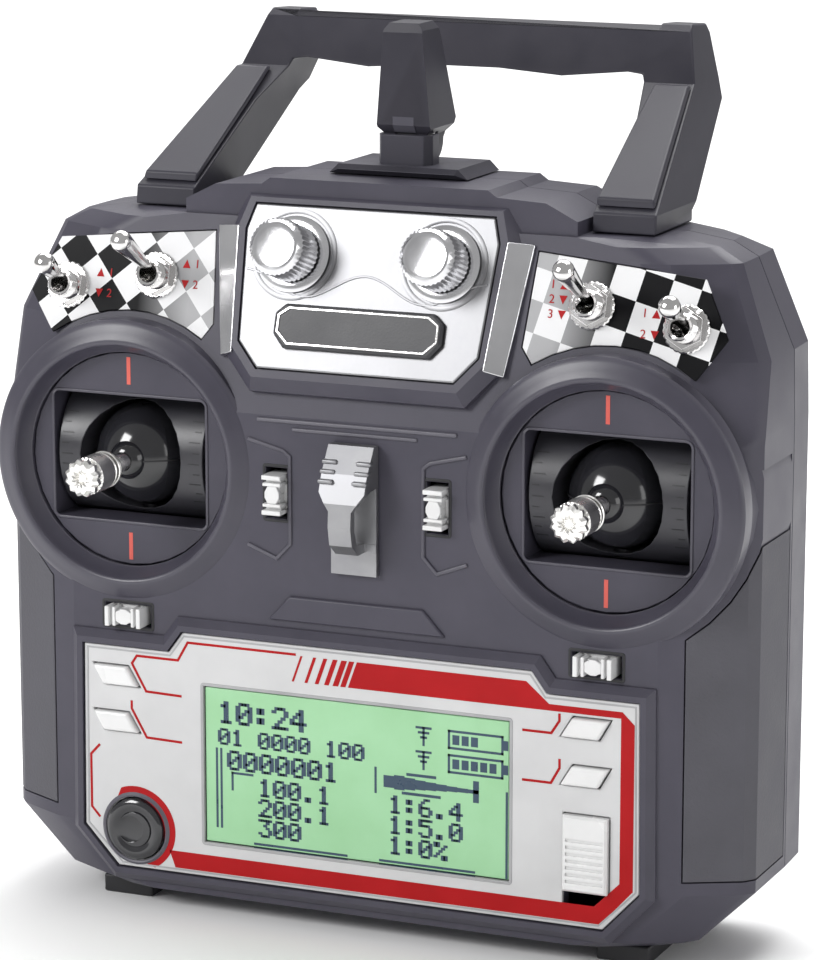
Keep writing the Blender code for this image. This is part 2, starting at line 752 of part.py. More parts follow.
def handle_front():
    """Front view of the handle: an arch with slanted legs and a waisted bar."""
    foot_in, foot_out = HANDLE_FOOT_X
    top_in, top_out = HANDLE_TOP_X
    base = SHOULDER_TOP - 5 * MM
    outer = [
        (foot_out, base), (foot_out, 57.8 * MM), (53.8 * MM, 80.5 * MM),
        (top_out, HANDLE_TOP + 1 * MM),
    ]
    inner = [
        (8 * MM, BAR_LOW + 1 * MM), (23 * MM, BAR_LOW), (38 * MM, BAR_LOW + 1.4 * MM),
        (41.5 * MM, BAR_LOW + 1 * MM), (top_in, 74 * MM), (foot_in, 57.8 * MM), (foot_in, base),
    ]
    right = outer[::-1]
    left = [(-x, up) for x, up in outer]
    inner_left = [(-x, up) for x, up in inner]
    return left + right + inner[::-1] + inner_left


def handle(face):
    """The carry handle with the raised covers on the front of its two arms."""
    frame = slab("handle_frame", handle_front()[::-1], -85 * MM, 0, face)
    side = side_slab("handle_profile", handle_side(), -70 * MM, 70 * MM, face)
    boolean(frame, side, "INTERSECT")
    low, high = (-43 * MM, HANDLE_TOP - 1.3 * MM, -85 * MM), (43 * MM, HANDLE_TOP + 3 * MM, -50 * MM)
    cut(frame, box("bar_top", low, high, face))
    paint(frame, body_plastic())
    foot_front = Vector((-17.6 * MM, 57.8 * MM))
    kink = Vector((-57.7 * MM, 80.5 * MM))
    slope = (kink - foot_front).normalized()
    rise = Vector((slope.y, -slope.x))
    for side, word in ((-1, "left"), (1, "right")):
        start = foot_front + slope * 1.8 * MM
        end = kink - slope * 1.2 * MM
        outline = [
            start + rise * GAP, end + rise * GAP, end - slope * 1.2 * MM + rise * 1.7 * MM,
            start + slope * 1.2 * MM + rise * 1.7 * MM,
        ]
        low, high = sorted((side * 45.8 * MM, side * 59.4 * MM))
        points = [(point.x, point.y) for point in outline]
        cover = side_slab("handle_cover_" + word, points, low, high, face)
        area = [
            (46.5 * MM, 50 * MM), (60 * MM, 50 * MM), (59.5 * MM, 57.8 * MM),
            (53.5 * MM, 80.5 * MM), (45.6 * MM, 80.5 * MM),
        ]
        if side < 0:
            area = [(-x, up) for x, up in reversed(area)]
        boolean(cover, slab("cover_area_" + word, area, -85 * MM, 5 * MM, face), "INTERSECT")
        paint(cover, body_plastic())


def antenna(face):
    """The paddle antenna, whose forked neck tilts back on a pin through the stand's tongue."""
    out, up = ANTENNA_AXIS
    base = mirrored([(16 * MM, HUMP_TOP + GAP), (13.8 * MM, HUMP_TOP + 2.4 * MM)])
    stand = slab("antenna_stand", base, -40 * MM, -21 * MM, face, 1 * MM)
    foot = HUMP_TOP + 1.4 * MM
    tongue = [(out - 4.4 * MM, foot), (out + 4.4 * MM, foot)] + arc((out, up), 4.4 * MM, 0, 180, 8)
    join(stand, side_slab("stand_tongue", tongue, -TONGUE_HALF, TONGUE_HALF, face))
    cut(stand, rod("stand_pin_hole", (-9 * MM, up, out), (9 * MM, up, out), 1.5 * MM + GAP, face, 16))
    paint(stand, body_plastic())
    pin = rod("antenna_pin", (-4.5 * MM, up, out), (4.5 * MM, up, out), 1.5 * MM, face, 16)
    paint(pin, steel())
    hinge = frame_empty("antenna_hinge", (0, up, out), None, face)
    top = ANTENNA_TOP - up
    front = mirrored([
        (4.8 * MM, -6 * MM), (4.8 * MM, 1.2 * MM), (6.2 * MM, 2.8 * MM), (4.5 * MM, top - 1.5 * MM),
        (3.4 * MM, top),
    ])
    paddle = slab("antenna_paddle", front, -12 * MM, 10 * MM, hinge)
    back = [(-8.4 * MM, 4 * MM), (-3.4 * MM, top - 3 * MM), (-2 * MM, top)]
    lead = [
        (5.6 * MM, top), (6.4 * MM, top - 2 * MM), (6.2 * MM, 3.4 * MM), (4.8 * MM, 1.6 * MM),
        (4.6 * MM, 0),
    ]
    profile = arc((0, 0), 4.6 * MM, 270, 180, 5) + back + lead + arc((0, 0), 4.6 * MM, -18, -72, 3)
    side_view = side_slab("paddle_profile", profile[::-1], -8 * MM, 8 * MM, hinge)
    boolean(paddle, side_view, "INTERSECT")
    slot_half = TONGUE_HALF + GAP
    low, high = (-slot_half, -8 * MM, -14 * MM), (slot_half, 5 * MM, 14 * MM)
    cut(paddle, box("paddle_slot", low, high, hinge))
    cut(paddle, rod("paddle_pin_hole", (-10 * MM, 0, 0), (10 * MM, 0, 0), 1.5 * MM + GAP, hinge, 16))
    paint(paddle, body_plastic())


# ---------------------------------------------------------------- stick units

def gimbal_plate(word, centre):
    """The fixed round plate with its window, its throat and the room for the drum."""
    plate = turned(
        "gimbal_plate_" + word,
        [(0, 0), (DISC_RADIUS, 0), (DISC_RADIUS, FLANGE_OUT - GAP), (FLANGE_RADIUS, FLANGE_OUT - GAP),
         (FLANGE_RADIUS, -4 * MM), (0, -4 * MM)],
        centre,
    )
    half_x, half_up = WINDOW_HALF
    wall = 1.2 * MM
    throat = rectangle(0, 0, half_x + wall, half_up + wall)
    join(plate, slab("throat_" + word, throat, -10 * MM, -3 * MM, centre))
    window = rectangle(0, 0, half_x, half_up)
    cut(plate, slab("window_" + word, window, -12 * MM, 3 * MM, centre))
    start, end = (-17.9 * MM, 0, DRUM_AXIS_OUT), (17.9 * MM, 0, DRUM_AXIS_OUT)
    cut(plate, rod("drum_room_" + word, start, end, DRUM_RADIUS + 0.4 * MM, centre, 36))
    paint(plate, body_plastic())


def gimbal_bracket(word, centre):
    """The box behind the plate that carries the drum's two trunnions."""
    low, high = (-22 * MM, -21 * MM, -33 * MM), (22 * MM, 21 * MM, -10.5 * MM)
    bracket = box(f"gimbal_frame_{word}", low, high, centre)
    low, high = (-19.6 * MM, -18.6 * MM, -31.5 * MM), (19.6 * MM, 18.6 * MM, -5 * MM)
    cut(bracket, box("bracket_room_" + word, low, high, centre))
    start, end = (-30 * MM, 0, DRUM_AXIS_OUT), (30 * MM, 0, DRUM_AXIS_OUT)
    cut(bracket, rod("trunnion_hole_" + word, start, end, 2.4 * MM, centre, 16))
    paint(bracket, dark_plastic())


def gimbal_drum(word, tilt):
    """The half cylinder that tilts up and down, with a round hole for the ball."""
    drum = rod("drum_" + word, (-DRUM_HALF, 0, 0), (DRUM_HALF, 0, 0), DRUM_RADIUS, tilt, 36)
    low, high = (-20 * MM, -20 * MM, -20 * MM), (20 * MM, 20 * MM, -3 * MM)
    cut(drum, box("drum_open_" + word, low, high, tilt))
    cut(drum, rod("drum_hole_" + word, (0, 0, -5 * MM), (0, 0, 20 * MM), BALL_HOLE, tilt, 24))
    for side, name in ((-1, "left"), (1, "right")):
        start, end = (side * (DRUM_HALF - 1 * MM), 0, 0), (side * 21.6 * MM, 0, 0)
        join(drum, rod(f"trunnion_{word}_{name}", start, end, 2.1 * MM, tilt, 16))
    pin_out = BALL_OUT - DRUM_AXIS_OUT
    start, end = (0, -13.5 * MM, pin_out), (0, 13.5 * MM, pin_out)
    cut(drum, rod("pin_hole_" + word, start, end, 1.5 * MM, tilt, 12))
    paint(drum, dark_plastic())


def stick(word, turn):
    """The ball that turns inside the drum, the stick's shaft and its knurled end."""
    dome = ball("ball_" + word, (0, 0, 0), BALL_RADIUS, turn, 20)
    low, high = (-15 * MM, -15 * MM, -15 * MM), (15 * MM, 15 * MM, -4 * MM)
    cut(dome, box("ball_flat_" + word, low, high, turn))
    join(dome, rod("ball_pin_" + word, (0, -13.2 * MM, 0), (0, 13.2 * MM, 0), 1.2 * MM, turn, 12))
    hole = rod("stick_hole_" + word, (0, 0, 3 * MM), (0, 0, 15 * MM), STICK_RADIUS + GAP, turn, 12)
    cut(dome, hole)
    paint(dome, dark_plastic())

    tip = STICK_TIP_OUT - BALL_OUT
    low = tip - STICK_END_LENGTH
    start, end = (0, 0, 3 * MM + GAP), (0, 0, low + 8 * MM)
    paint(rod("stick_shaft_" + word, start, end, STICK_RADIUS, turn, 12), chrome())
    bore = STICK_RADIUS + 0.4 * MM
    profile = [
        (0, tip), (3.4 * MM, tip), (4.15 * MM, tip - 1 * MM), (3.9 * MM, low + 3.2 * MM),
        (3.5 * MM, low + 2.6 * MM), (3.5 * MM, low + 2.0 * MM), (4.1 * MM, low + 1.6 * MM),
        (4.1 * MM, low + 0.6 * MM), (3.7 * MM, low), (bore, low), (bore, tip - 4 * MM),
        (0, tip - 4 * MM),
    ]
    paint(turned("stick_tip_" + word, profile, turn, 14), chrome())


def gimbal(word, x, face):
    """One stick unit: the drum tilts in the bracket and the ball with the stick turns in the drum."""
    centre = frame_empty("gimbal_" + word, (x, 0, -GIMBAL_DEPTH), None, face)
    gimbal_plate(word, centre)
    gimbal_bracket(word, centre)
    tilt = frame_empty("gimbal_tilt_" + word, (0, 0, DRUM_AXIS_OUT), None, centre)
    gimbal_drum(word, tilt)
    turn = frame_empty("gimbal_turn_" + word, (0, 0, BALL_OUT - DRUM_AXIS_OUT), None, tilt)
    stick(word, turn)


# ---------------------------------------------------------------- controls

def switch_plates():
    for side, word in ((-1, "left"), (1, "right")):
        frame = shoulder_frame(f"plate_{word}_frame", side * GIMBAL_X, BEND_UP)
        outline = to_shoulder(shoulder_outline(side), side)
        plate = slab(f"switch_plate_{word}", outline, -0.7 * MM, 0, frame)
        for name, (x, up, _) in SWITCHES.items():
            if x * side > 0:
                place = shoulder_frame(f"{name}_plate_frame", x, up)
                start, end = (0, 0, -4 * MM), (0, 0, 4 * MM)
                cut(plate, rod(name + "_plate_hole", start, end, 3.4 * MM, place, 12))
        paint(plate, material("plate_print", (0.85, 0.85, 0.85), 0.4))


def toggle_switches():
    """Four toggle switches: the threaded body with its nut, and the bat lever resting at the top."""
    for name, (x, up, length) in SWITCHES.items():
        frame = shoulder_frame(name + "_frame", x, up)
        low, high = (-3.3 * MM, -5.5 * MM, -17 * MM), (3.3 * MM, 5.5 * MM, -9 * MM)
        body = box(name + "_body", low, high, frame)
        join(body, rod(name + "_bushing", (0, 0, -10 * MM), (0, 0, 4.4 * MM), 2.95 * MM, frame, 12))
        join(body, rod(name + "_nut", (0, 0, GAP), (0, 0, 2.2 * MM), 4.4 * MM, frame, 6))
        start, end = (0, 0, -1.2 * MM), (0, 0, 5 * MM)
        cut(body, cone(name + "_bore", start, end, (1.6 * MM, 2.8 * MM), frame, 12))
        paint(body, chrome())
        lean = Matrix.Rotation(-LEVER_TILT, 4, "X")
        pivot = frame_empty(name + "_pivot", (0, 0, 0.6 * MM), lean, frame)
        profile = [
            (0, -1.2 * MM), (1.0 * MM, -0.9 * MM), (1.1 * MM, 0), (1.15 * MM, 4 * MM),
            (2.3 * MM, length), (2.1 * MM, length + 1.2 * MM), (1.2 * MM, length + 1.9 * MM),
            (0, length + 2.1 * MM),
        ]
        lever = turned(name + "_lever", list(reversed(profile)), pivot, 12)
        paint(lever, chrome())


def knob(word, upper, place):
    """A knob that turns on its potentiometer's shaft."""
    spin = frame_empty("knob_spin_" + word, (*place, PLATFORM_OUT + GAP), None, upper)
    skirt = KNOB_RADIUS + 1.9 * MM
    profile = [
        (0, KNOB_LENGTH), (KNOB_RADIUS - 1.1 * MM, KNOB_LENGTH),
        (KNOB_RADIUS - 0.3 * MM, KNOB_LENGTH - 0.8 * MM), (KNOB_RADIUS, 1.8 * MM),
        (skirt, 1.2 * MM), (skirt, 0), (3.4 * MM, 0), (3.4 * MM, 7 * MM), (0, 7 * MM),
    ]
    paint(turned("knob_" + word, profile, spin, 20), chrome())


def control_panel(upper):
    """The bright plate with its blank badge and two knobs on their potentiometers."""
    front = PLATFORM_OUT
    plate = slab("control_plate", control_outline(), front - 0.7 * MM, front, upper, 0.25 * MM)
    for side, word in ((-1, "left"), (1, "right")):
        place = (side * KNOB_X, KNOB_UP)
        start, end = (*place, front - 6 * MM), (*place, front + 2 * MM)
        cut(plate, rod("plate_hole_" + word, start, end, POT_HOLE, upper, 14))
        start, end = (*place, front - 12 * MM), (*place, front - 3.4 * MM - GAP)
        pot = rod("pot_body_" + word, start, end, 6.6 * MM, upper, 14)
        start, end = (*place, front - 5 * MM), (*place, front + 6.2 * MM)
        join(pot, rod("pot_shaft_" + word, start, end, 3 * MM, upper, 14))
        paint(pot, steel())
        knob(word, upper, place)
    paint(plate, chrome())
    outline = mirrored([
        (16.7 * MM, 13.8 * MM), (19.3 * MM, 16.8 * MM), (19.3 * MM, 21.3 * MM), (17 * MM, 23.4 * MM),
    ])
    badge = slab("name_badge", outline, front + GAP, front + 1.3 * MM, upper, 0.4 * MM)
    paint(badge, dark_plastic())


def display(face):
    """The printed overlay with the liquid crystal panel behind its window."""
    low = PANEL_OUT - PANEL_THICK
    overlay = slab("display_overlay", panel_outline(), low, PANEL_OUT, face)
    under, over = low - 2 * MM, PANEL_OUT + 2 * MM
    cut(overlay, slab("overlay_window", lcd_window(), under, over, face))
    for side, word in ((-1, "left"), (1, "right")):
        for row in (0, 1):
            cut(overlay, key_hole(f"overlay_key_{word}_{row}", side, row, under, over, face))
    cut(overlay, bind_hole("overlay_bind", under, over, face))
    cut(overlay, slab("overlay_slot", slider_slot(), under, over, face))
    paint(overlay, material("overlay_print", (0.72, 0.72, 0.72), 0.35))
    lcd_low = (-LCD_HALF[0], LCD_UP - LCD_HALF[1], -3 * MM)
    lcd_high = (LCD_HALF[0], LCD_UP + LCD_HALF[1], PANEL_OUT - 0.4 * MM)
    lcd = box("lcd_panel", lcd_low, lcd_high, face)
    paint(lcd, material("lcd", (0.38, 0.68, 0.35), 0.15))


def keys(face):
    """Four slanted keys, the round bind key and the power slider."""
    key_foot = -2 * MM
    for side, word in ((-1, "left"), (1, "right")):
        for row, level in ((0, "upper"), (1, "lower")):
            press = frame_empty(f"key_press_{word}_{level}", (*key_place(side, row), 0), None, face)
            key = slab(f"key_{word}_{level}", key_outline(side), key_foot, KEY_OUT, press, 0.4 * MM)
            paint(key, white_plastic())
    press = frame_empty("bind_press", (*BIND_CENTRE, 0), None, face)
    bind = rod("bind_key", (0, 0, key_foot), (0, 0, KEY_OUT), BIND_RADIUS, press, 20)
    paint(bind, dark_plastic())
    slide = frame_empty("power_slide", (SLIDER_X, SLIDER_UP, 0), None, face)
    top = PANEL_OUT + 1.4 * MM
    slider = slab("power_slider", rectangle(0, 0, *SLIDER_HALF), -3 * MM, top, slide, 0.5 * MM)
    for index in range(7):
        up = (2.6 - 1.5 * index) * MM
        low = (-4.2 * MM, up, top - 0.4 * MM)
        high = (4.2 * MM, up + 0.7 * MM, top + 1 * MM)
        cut(slider, box(f"slider_groove_{index}", low, high, slide))
    paint(slider, white_plastic())


def trims(face):
    """Sprung rockers beside each stick, waisted in the middle."""
    for name, (x, up, sideways) in TRIMS.items():
        slide = frame_empty(name + "_slide", (x, up, 0), None, face)
        turn = Matrix.Identity(4) if sideways else Matrix.Rotation(pi / 2, 4, "Z")
        lie = frame_empty(name + "_lie", (0, 0, 0), turn, slide)
        half_x, half_up = TRIM_HALF
        rocker = slab(name, rectangle(0, 0, half_x, half_up), -4.5 * MM, TRIM_OUT, lie, 0.3 * MM)
        for side in (-1, 1):
            x_low, x_high = sorted((side * 1.7 * MM, side * 2.5 * MM))
            low, high = (x_low, -3 * MM, TRIM_OUT - 1.4 * MM), (x_high, 3 * MM, TRIM_OUT + 1 * MM)
            cut(rocker, box(f"{name}_groove_{side}", low, high, lie))
        paint(rocker, white_plastic())


def strap_hook(face):
    """The neck strap's hook: a foot on the face, a ramp out from it and a narrow bridge back."""
    foot = [(GAP, -19.7 * MM), (1.5 * MM, -19.7 * MM), (1.5 * MM, -14.5 * MM), (5 * MM, -14.5 * MM)]
    crown = [
        (8.2 * MM, -12 * MM), (9 * MM, -8 * MM), (8.6 * MM, -3 * MM), (6.2 * MM, 3 * MM),
        (2.6 * MM, 8.5 * MM), (GAP, 8.5 * MM),
    ]
    hook = side_slab("strap_hook", foot + crown, -5.25 * MM, 5.25 * MM, face)
    eye = [
        (1.5 * MM, -12.6 * MM), (5.4 * MM, -12.2 * MM), (6.8 * MM, -9 * MM),
        (6.7 * MM, -4 * MM), (4.8 * MM, -0.6 * MM), (1.5 * MM, -0.6 * MM),
    ]
    cut(hook, side_slab("strap_eye", eye, -8 * MM, 8 * MM, face))
    for side, word in ((-1, "left"), (1, "right")):
        waist = [
            (2.6 * MM, -24 * MM), (8 * MM, -24 * MM), (8 * MM, -0.6 * MM), (5.4 * MM, -0.6 * MM),
            (2.6 * MM, -4.6 * MM),
        ]
        if side < 0:
            waist = [(-x, up) for x, up in reversed(waist)]
        cut(hook, slab("hook_waist_" + word, waist, 1.6 * MM, 14 * MM, face))
    paint(hook, chrome())


# ---------------------------------------------------------------- assembly

clear_scene()
PARTS = new_collection("radio_transmitter")
TOOLS = new_collection("radio_transmitter_cutters")

FACE = face_frame()
UPPER = upper_frame()
front_shell(FACE, UPPER)
rear_shell(FACE)
battery_cover(FACE)
battery_pack(FACE)
main_board(FACE)
grips(FACE)
feet(FACE)
case_screws(FACE)
handle(FACE)
antenna(FACE)
gimbal("left", -GIMBAL_X, FACE)
gimbal("right", GIMBAL_X, FACE)
switch_plates()
toggle_switches()
control_panel(UPPER)
display(FACE)
keys(FACE)
trims(FACE)
strap_hook(FACE)
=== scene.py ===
"""The look of the two-stick radio transmitter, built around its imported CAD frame."""

from math import cos, pi, radians, sin

import bmesh
import bpy
from mathutils import Matrix, Vector


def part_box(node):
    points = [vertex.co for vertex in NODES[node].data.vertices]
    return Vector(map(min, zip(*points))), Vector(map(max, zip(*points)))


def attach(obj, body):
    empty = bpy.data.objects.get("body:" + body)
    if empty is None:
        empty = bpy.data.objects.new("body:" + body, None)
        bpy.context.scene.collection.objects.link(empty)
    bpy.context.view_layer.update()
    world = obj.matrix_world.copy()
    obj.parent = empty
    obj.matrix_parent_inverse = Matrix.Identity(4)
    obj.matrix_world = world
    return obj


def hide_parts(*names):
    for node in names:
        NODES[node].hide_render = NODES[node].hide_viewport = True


MM = 0.001
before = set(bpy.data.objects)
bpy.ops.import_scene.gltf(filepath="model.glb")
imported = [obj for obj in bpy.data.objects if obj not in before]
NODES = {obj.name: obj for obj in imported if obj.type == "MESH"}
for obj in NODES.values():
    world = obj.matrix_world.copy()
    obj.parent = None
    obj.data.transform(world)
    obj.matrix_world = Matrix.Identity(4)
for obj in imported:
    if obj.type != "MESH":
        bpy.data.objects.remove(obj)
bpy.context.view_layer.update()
SCENE = bpy.context.scene

# Places read from the frame, and the front's own depths and tilts.
PANEL_OUT = 1.5 * MM
GIMBAL_DEPTH = 3.2 * MM
FACE_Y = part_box("display_overlay")[0].y + PANEL_OUT
PLATE_LOW, PLATE_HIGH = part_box("gimbal_plate_right")
GIMBAL_X = (PLATE_LOW.x + PLATE_HIGH.x) / 2
GIMBAL_UP = (PLATE_LOW.z + PLATE_HIGH.z) / 2
BEND_UP = 13 * MM
SHOULDER_TILT = radians(15)
PLATFORM_TILT = radians(18.5)
PLATFORM_OUT = 4.5 * MM
SIDES = ((-1, "left"), (1, "right"))

# Tolerances for making a CAD node's mesh into whole faces again.
FLAT_ANGLE = radians(0.6)
MERGE_DISTANCE = 0.002 * MM

# Sizes of the pieces that are made here. The balls and sticks are in millimetres.
BUMP_HEIGHT = 0.1 * MM
COAT_ROUGHNESS = 0.12
CHEQUER_SQUARE = 6.4 * MM
CHEQUER_FADE = (42 * MM, 57 * MM)
FILM = 0.05 * MM
BALL_SINK = 9 * MM
BALL_RADIUS = 11.2
DRUM_SINK = 15 * MM
DRUM_RADIUS = 15.0 * MM
STICK_END = 23.0
MARK_UP = 19.4
KNOB_PLACE = (17.2 * MM, 34 * MM)
KNOB_TEETH = 36
KNOB_TOOTH = 0.28 * MM
LEVER_TILT = radians(16)
DIGIT_SIZE = 2.6 * MM
DIGIT_DEPTH = 0.04 * MM


# ---------------------------------------------------------------- frames of reference

def plane(x, out, up, tilt=0.0):
    """A frame on the front: local x to the right, local y up the surface, local z out of it."""
    matrix = Matrix.Identity(4)
    matrix.col[1][:3] = Vector((0, sin(tilt), cos(tilt)))
    matrix.col[2][:3] = Vector((0, -cos(tilt), sin(tilt)))
    matrix.col[3][:3] = Vector((x, FACE_Y - out, GIMBAL_UP + up))
    return matrix


FACE = plane(0, 0, 0)
SHOULDER = plane(0, 0, BEND_UP, SHOULDER_TILT)
PLATFORM = plane(0, 0, BEND_UP, PLATFORM_TILT)


def gimbal_plane(side):
    """The frame on a stick unit's fixed plate."""
    return plane(side * GIMBAL_X, -GIMBAL_DEPTH, 0)


def on_shoulder(x, up):
    """A point of the front view, as a point of the shoulder frame."""
    return x, (up - BEND_UP) / cos(SHOULDER_TILT)


# ---------------------------------------------------------------- materials

def noise(nodes, links, coords, scale, detail):
    """Noise in the object's own metres."""
    texture = nodes.new("ShaderNodeTexNoise")
    texture.inputs["Scale"].default_value = scale
    texture.inputs["Detail"].default_value = detail
    links.new(coords.outputs["Object"], texture.inputs["Vector"])
    return texture.outputs["Fac"]


def spread(nodes, links, value, low, high):
    """Maps a noise value onto a range of roughness."""
    ranged = nodes.new("ShaderNodeMapRange")
    ranged.inputs["From Min"].default_value = 0.3
    ranged.inputs["From Max"].default_value = 0.7
    ranged.inputs["To Min"].default_value = low
    ranged.inputs["To Max"].default_value = high
    links.new(value, ranged.inputs["Value"])
    return ranged.outputs["Result"]


def ramp(nodes, links, value, stops):
    """A value turned into a colour between the stops, which are (position, colour) pairs."""
    node = nodes.new("ShaderNodeValToRGB")
    elements = node.color_ramp.elements
    while len(elements) < len(stops):
        elements.new(0.5)
    for element, (position, color) in zip(elements, stops):
        element.position = position
        element.color = (*color, 1.0)
    links.new(value, node.inputs["Fac"])
    return node.outputs["Color"]


def blended(nodes, links, factor, first, second):
    """A mix of a linked colour and a plain one."""
    node = nodes.new("ShaderNodeMix")
    node.data_type = "RGBA"
    links.new(factor, node.inputs["Factor"])
    links.new(first, node.inputs[6])
    node.inputs[7].default_value = (*second, 1.0)
    return node.outputs[2]


def material(name, dark, light, rough, grain=2500.0, depth=0.1, metallic=0.0, coat=0.0, wear_and_edge_highlight=None,
             gloss=0.5):
    """A moulded or plated finish: mottled colour, fine grain, uneven gloss, and convex edges lightened,
    partly worn and partly a painted highlight.

    Colours are linear. rough is the range of roughness, grain the noise scale of the bump and depth its
    strength, and the edge colour, when given, is laid on convex edges as worn plastic together with a
    painted highlight.
    """
    made = bpy.data.materials.new(name)
    made.use_nodes = True
    nodes = made.node_tree.nodes
    links = made.node_tree.links
    shader = nodes["Principled BSDF"]
    shader.inputs["Metallic"].default_value = metallic
    shader.inputs["Coat Weight"].default_value = coat
    shader.inputs["Coat Roughness"].default_value = COAT_ROUGHNESS
    shader.inputs["Specular IOR Level"].default_value = gloss
    coords = nodes.new("ShaderNodeTexCoord")
    patches = noise(nodes, links, coords, 90.0, 5.0)
    fine = noise(nodes, links, coords, grain, 2.0)
    color = ramp(nodes, links, patches, ((0.3, dark), (0.7, light)))
    if wear_and_edge_highlight:
        # Convex edges, found from pointiness, are lightened: partly worn plastic, partly a painted highlight
        # along the bevels.
        geometry = nodes.new("ShaderNodeNewGeometry")
        stops = ((0.52, (0, 0, 0)), (0.6, (0.7, 0.7, 0.7)))
        edges = ramp(nodes, links, geometry.outputs["Pointiness"], stops)
        color = blended(nodes, links, edges, color, wear_and_edge_highlight)
    links.new(color, shader.inputs["Base Color"])
    links.new(spread(nodes, links, patches, *rough), shader.inputs["Roughness"])
    bump = nodes.new("ShaderNodeBump")
    bump.inputs["Strength"].default_value = depth
    bump.inputs["Distance"].default_value = BUMP_HEIGHT
    links.new(fine, bump.inputs["Height"])
    links.new(bump.outputs["Normal"], shader.inputs["Normal"])
    return made


def chequer_material(name, turn):
    """Glossy film printed with a black and white chequer, which fades to grey towards the middle."""
    made = material(name, (0.8, 0.8, 0.8), (0.86, 0.86, 0.86), (0.3, 0.4),
                    grain=600.0, depth=0.03, gloss=0.1)
    nodes = made.node_tree.nodes
    links = made.node_tree.links
    shader = nodes["Principled BSDF"]
    coords = next(node for node in nodes if node.type == "TEX_COORD")
    mapping = nodes.new("ShaderNodeMapping")
    mapping.inputs["Scale"].default_value = (1 / CHEQUER_SQUARE, 0.0, 1 / CHEQUER_SQUARE)
    mapping.inputs["Rotation"].default_value = (0.0, turn, 0.0)
    mapping.inputs["Location"].default_value = (0.35, 0.5, 0.3)
    links.new(coords.outputs["Object"], mapping.inputs["Vector"])
    apart = nodes.new("ShaderNodeSeparateXYZ")
    links.new(coords.outputs["Object"], apart.inputs["Vector"])
    side = nodes.new("ShaderNodeMath")
    side.operation = "ABSOLUTE"
    links.new(apart.outputs["X"], side.inputs[0])
    fade = nodes.new("ShaderNodeMapRange")
    fade.inputs["From Min"].default_value = CHEQUER_FADE[0]
    fade.inputs["From Max"].default_value = CHEQUER_FADE[1]
    links.new(side.outputs["Value"], fade.inputs["Value"])
    stops = ((0.0, (0.42, 0.42, 0.43)), (0.8, (0.003, 0.003, 0.004)))
    inked = ramp(nodes, links, fade.outputs["Result"], stops)
    checker = nodes.new("ShaderNodeTexChecker")
    checker.inputs["Scale"].default_value = 1.0
    checker.inputs["Color1"].default_value = (0.82, 0.82, 0.83, 1)
    links.new(inked, checker.inputs["Color2"])
    links.new(mapping.outputs["Vector"], checker.inputs["Vector"])
    links.new(checker.outputs["Color"], shader.inputs["Base Color"])
    return made


def chrome_material(name, dark, light, rough, streak):
    """Bright plating with fine brush streaks across it."""
    made = material(name, dark, light, rough, grain=1500.0, depth=0.05, metallic=1.0)
    nodes = made.node_tree.nodes
    links = made.node_tree.links
    coords = next(node for node in nodes if node.type == "TEX_COORD")
    mapping = nodes.new("ShaderNodeMapping")
    mapping.inputs["Scale"].default_value = streak
    links.new(coords.outputs["Object"], mapping.inputs["Vector"])
    for node in [n for n in nodes if n.type == "TEX_NOISE"]:
        if node.inputs["Scale"].default_value > 500:
            links.new(mapping.outputs["Vector"], node.inputs["Vector"])
    return made


BODY = material("body_shell", (0.053, 0.05, 0.069), (0.065, 0.061, 0.082), (0.36, 0.46),
                grain=4200.0, depth=0.22, gloss=0.35)
# The next two finishes have lighter convex edges: partly worn plastic, partly a painted highlight.
BODY_SMOOTH = material("body_smooth", (0.048, 0.045, 0.063), (0.059, 0.055, 0.075),
                       (0.3, 0.38), grain=3000.0, depth=0.08, wear_and_edge_highlight=(0.15, 0.145, 0.17))
HANDLE = material("handle_plastic", (0.028, 0.027, 0.036), (0.037, 0.035, 0.045),
                  (0.34, 0.44), grain=3000.0, depth=0.1, wear_and_edge_highlight=(0.1, 0.097, 0.12), gloss=0.2)
GRIP = material("grip_skin", (0.06, 0.058, 0.07), (0.08, 0.078, 0.093), (0.55, 0.7),
                grain=1700.0, depth=0.9)
DARK = material("dark_moulding", (0.012, 0.012, 0.014), (0.02, 0.02, 0.023), (0.38, 0.5),
                grain=3000.0, depth=0.15)
DRUM = material("drum_shell", (0.03, 0.03, 0.036), (0.04, 0.039, 0.046), (0.3, 0.4),
                grain=3500.0, depth=0.12)
GLOSS = material("ball_gloss", (0.012, 0.012, 0.014), (0.02, 0.02, 0.024), (0.1, 0.17),
                 grain=1200.0, depth=0.02, coat=0.6)
BADGE = material("badge_face", (0.03, 0.03, 0.034), (0.045, 0.045, 0.05), (0.35, 0.45),
                 grain=2500.0, depth=0.2)
WHITE = material("white_keys", (0.7, 0.7, 0.7), (0.78, 0.78, 0.78), (0.2, 0.3),
                 grain=2500.0, depth=0.05, coat=0.2)
PANEL = material("overlay_film", (0.56, 0.56, 0.565), (0.61, 0.61, 0.615), (0.3, 0.42),
                 grain=2500.0, depth=0.06)
RED = material("red_print", (0.37, 0.006, 0.008), (0.42, 0.008, 0.011), (0.28, 0.4),
               grain=2500.0, depth=0.05, gloss=0.15)
MARK = material("mark_print", (0.62, 0.09, 0.07), (0.7, 0.12, 0.09), (0.4, 0.5),
                grain=2500.0, depth=0.05)
SILVER = material("silver_print", (0.33, 0.33, 0.34), (0.4, 0.4, 0.41), (0.3, 0.4),
                  grain=2500.0, depth=0.04)
GLASS = material("lcd_ground", (0.3, 0.58, 0.31), (0.34, 0.63, 0.36), (0.14, 0.22),
                 grain=2500.0, depth=0.02, coat=0.15)
INK = material("lcd_ink", (0.022, 0.05, 0.09), (0.032, 0.066, 0.11), (0.25, 0.35),
               grain=2500.0, depth=0.02)
